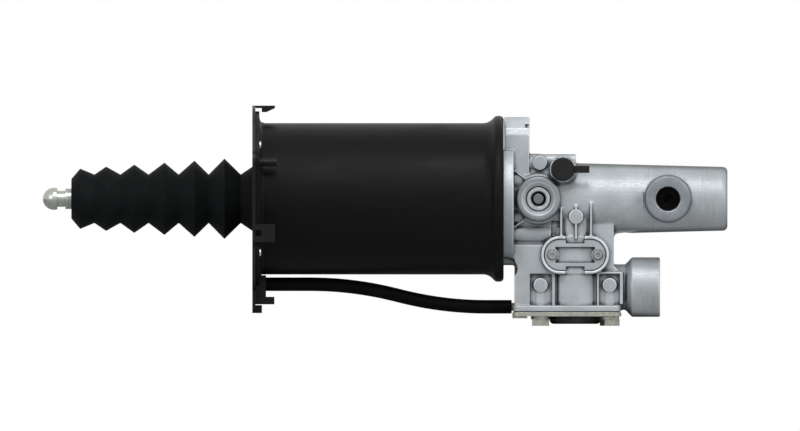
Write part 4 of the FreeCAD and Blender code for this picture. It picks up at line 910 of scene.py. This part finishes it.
def round_edges(piece: Object, width_mm: float) -> None:
    """Rounds the edges of a turned piece a little.

    Args:
        piece: The object.
        width_mm: Width of the rounding.
    """
    apply_modifier(piece, "BEVEL", width=width_mm * MM, segments=2, limit_method="ANGLE",
                   angle_limit=math.radians(25))


def copy_node(node: str, name: str, mend: bool = False) -> Object:
    """Copies a node of the CAD model and merges its doubled points.

    Args:
        node: Name of the node.
        name: Name of the copy.
        mend: Whether the normals are mended too.

    Returns:
        The copy, in object mode.
    """
    piece = bpy.data.objects.new(name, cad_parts[node].data.copy())
    bpy.context.scene.collection.objects.link(piece)
    only(piece)
    bpy.ops.object.mode_set(mode="EDIT")
    bpy.ops.mesh.select_all(action="SELECT")
    bpy.ops.mesh.remove_doubles(threshold=CAD_MERGE_GAP)
    if mend:
        bpy.ops.mesh.normals_make_consistent(inside=False)
    bpy.ops.object.mode_set(mode="OBJECT")
    return piece


def dress(piece: Object, finish: Finish, angle: float) -> Object:
    """Gives a new piece its finish, slot and smooth shading.

    Args:
        piece: The object.
        finish: Its finish.
        angle: Edges sharper than this many degrees stay sharp.

    Returns:
        The object.
    """
    only(piece)
    piece.data.materials.clear()
    piece.data.materials.append(finish.material())
    bpy.ops.object.shade_smooth_by_angle(angle=math.radians(angle))
    return piece


@dataclass
class RubberBoot:
    """Bellows in two halves that meet on a crest: one on the base and one at the rod's end."""

    crests: tuple[Station, ...] = ((-122.7, 21.15), (-104.5, 22.55), (-84.8, 23.95), (-63.7, 25.35),
                                   (-42.7, 26.75), (-21.7, 28.15))
    valley_offset: float = 10.0
    valley_r: float = 17.0
    last_valley: float = -10.3
    end_x: float = -128.9
    end_r: float = 13.85
    hole_r: float = 7.24
    wall: float = 2.2
    collar_length: float = 3.4
    collar_wall: float = 2.0
    fold_round: float = 0.35
    base: tuple[Station, ...] = ((-2.2, 22.5), (0.4, 22.5), (0.4, 27.5), (2.8, 27.5), (2.8, 23.78),
                                 (4.8, 23.78), (4.8, 26.0), (7.2, 26.0), (7.2, 20.1), (-2.2, 20.1))
    sides: int = 96
    split: int = 2

    def outline(self, first: int, last: int) -> list[Station]:
        """Gives crests and the valleys between them.

        Args:
            first: Index of the first crest.
            last: Index of the last crest.

        Returns:
            Places and radii from left to right.
        """
        points = []
        for index in range(first, last + 1):
            points.append(self.crests[index])
            if index < last:
                points.append((self.crests[index][0] + self.valley_offset, self.valley_r))
        return points

    def within(self, points: list[Station]) -> list[Station]:
        """Gives the inner wall's points, right to left."""
        return [(x, r - self.wall) for x, r in reversed(points)]

    def half(self, name: str, loop: list[Station]) -> Object:
        """Turns one closed outline into a wall with slightly rounded folds.

        Args:
            name: Name of the piece.
            loop: The outline's points.

        Returns:
            The object.
        """
        shaper = Shaper(name, loop[0], self.sides)
        shaper.follow(loop[1:] + loop[:1])
        piece = shaper.place()
        round_edges(piece, self.fold_round)
        return dress(piece, BOOT_RUBBER, 30.0)

    def build(self) -> list[Object]:
        """Builds both halves in place of the boot node.

        Returns:
            The half on the base and the half at the rod's end.
        """
        right = self.outline(self.split, len(self.crests) - 1) + [(self.last_valley, self.valley_r)]
        left = self.outline(0, self.split)
        root = self.half("boot_stretching_folds", right + list(self.base) + self.within(right))
        collar_x = self.end_x + self.collar_length
        end = [(self.end_x, self.hole_r), (self.end_x, self.end_r)]
        collar = [(collar_x, self.hole_r + self.collar_wall), (collar_x, self.hole_r)]
        tip = self.half("boot_rod_end_folds", end + left + self.within(left) + collar)
        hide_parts("boot")
        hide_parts("boot")
        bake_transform(root)
        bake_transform(tip)
        return [root, tip]


@dataclass(frozen=True)
class CoilSpring:
    """Coil spring with one end on the housing and the other on the piece that it pushes."""

    node: str
    pushed: Body
    fixed_end: Place
    pushed_end: Place

    def build(self) -> Object:
        """Copies the spring in place of its node.

        Returns:
            The copy.
        """
        piece = copy_node(self.node, f"{self.node}_coil", mend=True)
        dress(piece, SPRING_STEEL, 40.0)
        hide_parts(self.node)
        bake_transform(piece)
        return piece


COIL_SPRINGS = (
    CoilSpring("preload_spring", Body.PISTON, (0.158, 0, 0), (0.1105, 0, 0)),
    CoilSpring("relay_spring", Body.RELAY, (0.2238, 0, -0.0535), (0.2238, 0, -0.0418)),
    CoilSpring("valve_spring", Body.VALVE, (0.2238, 0, -0.0664), (0.2238, 0, -0.0586)),
)


@dataclass(frozen=True)
class Bore:
    """Round bore that a tool cuts into the casting, in millimetres."""

    axis: Axis
    mouth: Place
    depth: float
    radius: float
    start: float = 1.0
    sides: int = 128

    def cutter(self) -> Object:
        """Makes the round body that the tool takes away.

        Returns:
            A cylinder from a little outside the mouth to the bore's end.
        """
        turns = {Axis.ALONG: (0, math.pi / 2, 0), Axis.FRONT: (math.pi / 2, 0, 0), Axis.UP: (0, 0, 0)}
        steps = {Axis.ALONG: Vector((1, 0, 0)), Axis.FRONT: Vector((0, 1, 0)), Axis.UP: Vector((0, 0, 1))}
        length = abs(self.depth) + self.start
        inwards = steps[self.axis] * math.copysign(1.0, self.depth)
        middle = Vector(self.mouth) + inwards * (length / 2 - self.start)
        bpy.ops.object.select_all(action="DESELECT")
        bpy.ops.mesh.primitive_cylinder_add(
            vertices=self.sides, radius=self.radius * MM, depth=length * MM,
            location=middle * MM, rotation=turns[self.axis])
        apply_place()
        return bpy.context.object


@dataclass
class CastHousing:
    """Housing with the soft corners of a casting and crisp machined cuts."""

    voxel: float = 0.55
    rounds: int = 3
    face_limit: int = 185000
    bores: tuple[Bore, ...] = (
        Bore(Axis.FRONT, (PORT_X, PORT_FACE_Y, 0.0), 12.8, 8.65),
        Bore(Axis.FRONT, (BOSS_X, -29.0, 0.0), 8.5, 8.8),
        Bore(Axis.ALONG, (AIR_FACE_X, 0.0, AIR_Z), -0.4, 19.8),
        Bore(Axis.ALONG, (AIR_FACE_X, 0.0, AIR_Z), -16.6, 11.04),
        Bore(Axis.ALONG, (158.0, 0.0, 0.0), 34.0, 18.0),
        Bore(Axis.ALONG, (190.0, 0.0, 0.0), 132.0, 14.8),
        Bore(Axis.UP, (RELAY_X, 0.0, -79.0), 7.0, 15.84),
        Bore(Axis.UP, (RELAY_X, 0.0, -73.0), 17.0, 12.6),
        Bore(Axis.UP, (RELAY_X, 0.0, -54.0), 21.0, 12.6),
    )

    def casting(self) -> Object:
        """Copies the housing and softens its corners as a mould does.

        Returns:
            The copy.
        """
        piece = copy_node("housing", "housing_casting")
        apply_modifier(piece, "REMESH", mode="VOXEL", voxel_size=self.voxel * MM)
        apply_modifier(piece, "SMOOTH", factor=0.5, iterations=self.rounds)
        triangles = len(piece.data.polygons) * 2
        apply_modifier(piece, "DECIMATE", ratio=min(1.0, self.face_limit / triangles))
        return piece

    def machine(self, piece: Object) -> None:
        """Cuts every bore into the casting.

        Args:
            piece: The casting.
        """
        for bore in self.bores:
            cutter = bore.cutter()
            apply_modifier(piece, "BOOLEAN", operation="DIFFERENCE", solver="MANIFOLD", object=cutter)
            bpy.data.objects.remove(cutter)

    def build(self) -> Object:
        """Builds the casting in place of the plain housing.

        Returns:
            The casting.
        """
        piece = self.casting()
        self.machine(piece)
        dress(piece, CAST_SKIN, 50.0)
        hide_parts("housing")
        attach(piece, Body.HOUSING.value)
        return piece


@dataclass
class MachinedFaces:
    """Crisp turned faces of the casting and the thread of its air port."""

    port_r: float = 15.05
    port_skirt: float = 1.2
    port_chamfer: float = 1.1
    hole_r: float = 8.65
    hole_chamfer: float = 0.4
    hole_lining: float = 0.02
    boss_r: float = 14.7
    boss_flare: float = 0.6
    boss_chamfer: float = 0.7
    dish_r: float = 11.5
    dish_edge: float = 0.5
    dish_foot: float = 0.7
    dish_depth: float = 2.6
    plug_r: float = 8.8
    air_r: float = 20.1
    air_chamfer: float = 0.5
    mouth_width: float = 1.2
    mouth_depth: float = 1.0
    thread_gap: float = 0.2
    core_r: float = 10.25
    thread_r: float = 11.0
    pitch: float = 1.5
    turns: int = 9
    thread_start: float = 1.8
    thread_sides: int = 72
    root_sink: float = 0.03
    root_share: float = 0.86
    crest_share: float = 0.2
    proud: float = 0.03
    sunk: float = 1.2
    edge_round: float = 0.15
    sides: int = 96

    def ring(self, name: str, loop: list[Station], finish: Finish, turn: Matrix | None,
             move: Vector) -> Object:
        """Turns one closed outline into a ring.

        Args:
            name: Name of the piece.
            loop: The outline, as places along the axis and radii.
            finish: Its finish.
            turn: Turn from the X axis to the ring's own.
            move: Where the axis lies, in metres.

        Returns:
            The object.
        """
        shaper = Shaper(name, loop[0], self.sides)
        shaper.follow(loop[1:] + loop[:1])
        piece = shaper.place(turn, move)
        round_edges(piece, self.edge_round)
        dress(piece, finish, 25.0)
        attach(piece, Body.HOUSING.value)
        return piece

    def port_ring(self) -> Object:
        """Turns the face of the hydraulic port, with its outer and inner chamfers.

        Returns:
            The ring.
        """
        face = -PORT_FACE_Y + self.proud
        low = face - self.sunk
        hole = self.hole_r - self.hole_lining
        loop = [(low, hole), (low, self.port_r + self.port_skirt),
                (face - self.port_chamfer, self.port_r + self.port_chamfer), (face, self.port_r),
                (face, self.hole_r + self.hole_chamfer), (face - self.hole_chamfer, hole)]
        return self.ring("port_turned_face", loop, PORT_FACE, TO_FRONT, Vector((PORT_X * MM, 0, 0)))

    def boss_ring(self) -> Object:
        """Turns the face and the dish round the cross bore's plug.

        Returns:
            The ring.
        """
        face = -BOSS_FACE_Y + self.proud
        floor = -BOSS_FACE_Y - self.dish_depth + self.proud
        low = floor - self.sunk
        loop = [(low, self.plug_r), (low, self.boss_r - self.boss_flare),
                (face - self.boss_chamfer, self.boss_r + self.boss_flare), (face, self.boss_r),
                (face, self.dish_r + self.dish_edge), (floor, self.plug_r + self.dish_foot),
                (floor, self.plug_r)]
        return self.ring("plug_turned_face", loop, BOSS_FACE, TO_FRONT, Vector((BOSS_X * MM, 0, 0)))

    def air_ring(self) -> Object:
        """Turns the end of the air port.

        Returns:
            The ring.
        """
        face = AIR_FACE_X
        low = face - self.sunk
        inner = self.thread_r + self.thread_gap
        loop = [(low, inner), (low, self.air_r), (face - self.air_chamfer, self.air_r),
                (face, self.air_r - self.air_chamfer), (face, self.thread_r + self.mouth_width),
                (face - self.mouth_depth, inner)]
        return self.ring("air_port_turned_end", loop, AIR_FACE, None, Vector((0, 0, AIR_Z * MM)))

    def thread(self) -> Object:
        """Winds the air port's thread from one profile with a sloping flank on each side.

        Returns:
            The thread.
        """
        height = self.thread_r + self.root_sink - self.core_r
        middle_r = self.core_r + height / 2
        start = AIR_FACE_X - self.thread_start - self.pitch * self.turns
        bpy.ops.object.select_all(action="DESELECT")
        bpy.ops.mesh.primitive_plane_add(size=1.0, rotation=(math.pi / 2, 0, 0))
        piece = bpy.context.object
        piece.name = "air_port_thread"
        piece.scale = (self.pitch * self.root_share * MM, height * MM, 1)
        piece.location = (start * MM, 0, middle_r * MM)
        apply_place()
        for vertex in piece.data.vertices:
            vertex.select = vertex.co.z < middle_r * MM
        bpy.ops.object.mode_set(mode="EDIT")
        bpy.ops.mesh.select_mode(type="VERT")
        bpy.ops.transform.resize(value=(self.crest_share, 1, 1), center_override=(start * MM, 0, 0))
        bpy.ops.mesh.select_all(action="SELECT")
        bpy.ops.mesh.delete(type="ONLY_FACE")
        bpy.ops.object.mode_set(mode="OBJECT")
        apply_modifier(piece, "SCREW", axis="X", screw_offset=self.pitch * MM, iterations=self.turns,
                       steps=self.thread_sides, render_steps=self.thread_sides, use_merge_vertices=False)
        bpy.ops.object.mode_set(mode="EDIT")
        bpy.ops.mesh.select_all(action="SELECT")
        bpy.ops.mesh.remove_doubles(threshold=MERGE_GAP)
        bpy.ops.mesh.select_all(action="DESELECT")
        bpy.ops.mesh.select_non_manifold()
        bpy.ops.mesh.edge_face_add()
        bpy.ops.mesh.select_all(action="SELECT")
        bpy.ops.transform.translate(value=(0, 0, AIR_Z * MM))
        bpy.ops.mesh.normals_make_consistent(inside=False)
        bpy.ops.object.mode_set(mode="OBJECT")
        dress(piece, AIR_FACE, 40.0)
        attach(piece, Body.HOUSING.value)
        return piece

    def build(self) -> list[Object]:
        """Builds every turned face and the thread."""
        return [self.port_ring(), self.boss_ring(), self.air_ring(), self.thread()]


@dataclass
class Studio:
    """Pale floor, soft lamps and the camera at the photograph's angle."""

    view_width: float = 0.560
    view_centre: tuple[float, float] = (0.1012, -0.0117)
    view_y: float = -2.0
    far_clip: float = 20.0
    floor_size: float = 6.0
    floor_place: Place = (0.1, 0, -0.0892)
    lit_middle: Place = (0.11, 0, 0)
    room_light: float = 0.32

    def floor(self) -> Object:
        """Lays the pale floor.

        Returns:
            The floor.
        """
        bpy.ops.object.select_all(action="DESELECT")
        bpy.ops.mesh.primitive_plane_add(size=self.floor_size, location=self.floor_place)
        floor = bpy.context.object
        floor.name = "studio_floor"
        bench = Bench("studio_floor")
        cloud = bench.noise(300.0, 2.0)
        colour = bench.mix(cloud, shade(204, 204, 204), shade(212, 212, 212))
        floor.data.materials.append(bench.surface(colour, 0.9, bench.bump(cloud, 0.01)))
        return floor

    def lamp(self, name: str, place: tuple[float, float], height: float, size: float, power: float) -> None:
        """Hangs a square lamp that looks at the servo's middle.

        Args:
            name: Name of the lamp.
            place: Its X and Y in metres.
            height: Its Z in metres.
            size: Side of its square in metres.
            power: Its power in watts.
        """
        data = bpy.data.lights.new(name, "AREA")
        data.size = size
        data.energy = power
        lamp = bpy.data.objects.new(name, data)
        lamp.location = (place[0], place[1], height)
        aim = Vector(self.lit_middle) - lamp.location
        lamp.rotation_euler = aim.to_track_quat("-Z", "Y").to_euler()
        bpy.context.scene.collection.objects.link(lamp)

    def world(self) -> None:
        """Lights the room softly and leaves a white background."""
        bench = Bench("studio_room", bpy.data.worlds)
        rays = bench.add("ShaderNodeLightPath").outputs
        seen = bench.calc("MAXIMUM", rays["Is Camera Ray"], rays["Is Transmission Ray"])
        white = bench.calc("MAXIMUM", seen, rays["Is Glossy Ray"])
        both = bench.add("ShaderNodeMixShader")
        bench.feed(both.inputs[0], white)
        for socket, strength in zip(both.inputs[1:], (self.room_light, 1.0)):
            light = bench.add("ShaderNodeBackground")
            light.inputs["Color"].default_value = (1, 1, 1, 1)
            light.inputs["Strength"].default_value = strength
            bench.feed(socket, light.outputs[0])
        bench.feed(bench.add("ShaderNodeOutputWorld").inputs["Surface"], both.outputs[0])
        bpy.context.scene.world = bench.block

    def camera(self) -> Object:
        """Sets up the long-lens camera of the photograph.

        Returns:
            The camera.
        """
        data = bpy.data.cameras.new("photo_camera")
        data.type = "ORTHO"
        data.ortho_scale = self.view_width
        data.clip_end = self.far_clip
        camera = bpy.data.objects.new("photo_camera", data)
        camera.location = (self.view_centre[0], self.view_y, self.view_centre[1])
        camera.rotation_euler = (math.pi / 2, 0, 0)
        bpy.context.scene.collection.objects.link(camera)
        bpy.context.scene.camera = camera
        return camera

    def build(self) -> None:
        """Builds the whole studio."""
        bpy.context.scene.view_settings.view_transform = "Standard"
        self.floor()
        self.world()
        self.lamp("lamp_above", (0.10, -0.85), height=1.0, size=0.6, power=9.0)
        self.lamp("lamp_left", (-0.9, -1.1), height=0.45, size=0.7, power=4.0)
        self.lamp("lamp_right", (1.0, -0.9), height=0.55, size=0.6, power=4.0)
        self.camera()


def dress_nodes() -> int:
    """Gives each node of the model its finish.

    Returns:
        The number of nodes.
    """
    for name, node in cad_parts.items():
        material = NODE_FINISHES[name].material()
        if not node.material_slots:
            node.data.materials.append(material)
        for slot in node.material_slots:
            slot.material = material
    return len(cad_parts)


def main() -> None:
    """Builds every piece."""
    Studio().build()
    log.info("studio: floor, lamps and camera")
    log.info("finishes on %d nodes", dress_nodes())
    pieces = RubberBoot().build() + [spring.build() for spring in COIL_SPRINGS]
    pieces += [CastHousing().build()] + MachinedFaces().build()
    for piece in pieces:
        log.info("%s: %d faces", piece.name, len(piece.data.polygons))


if __name__ == "__main__":
    main()
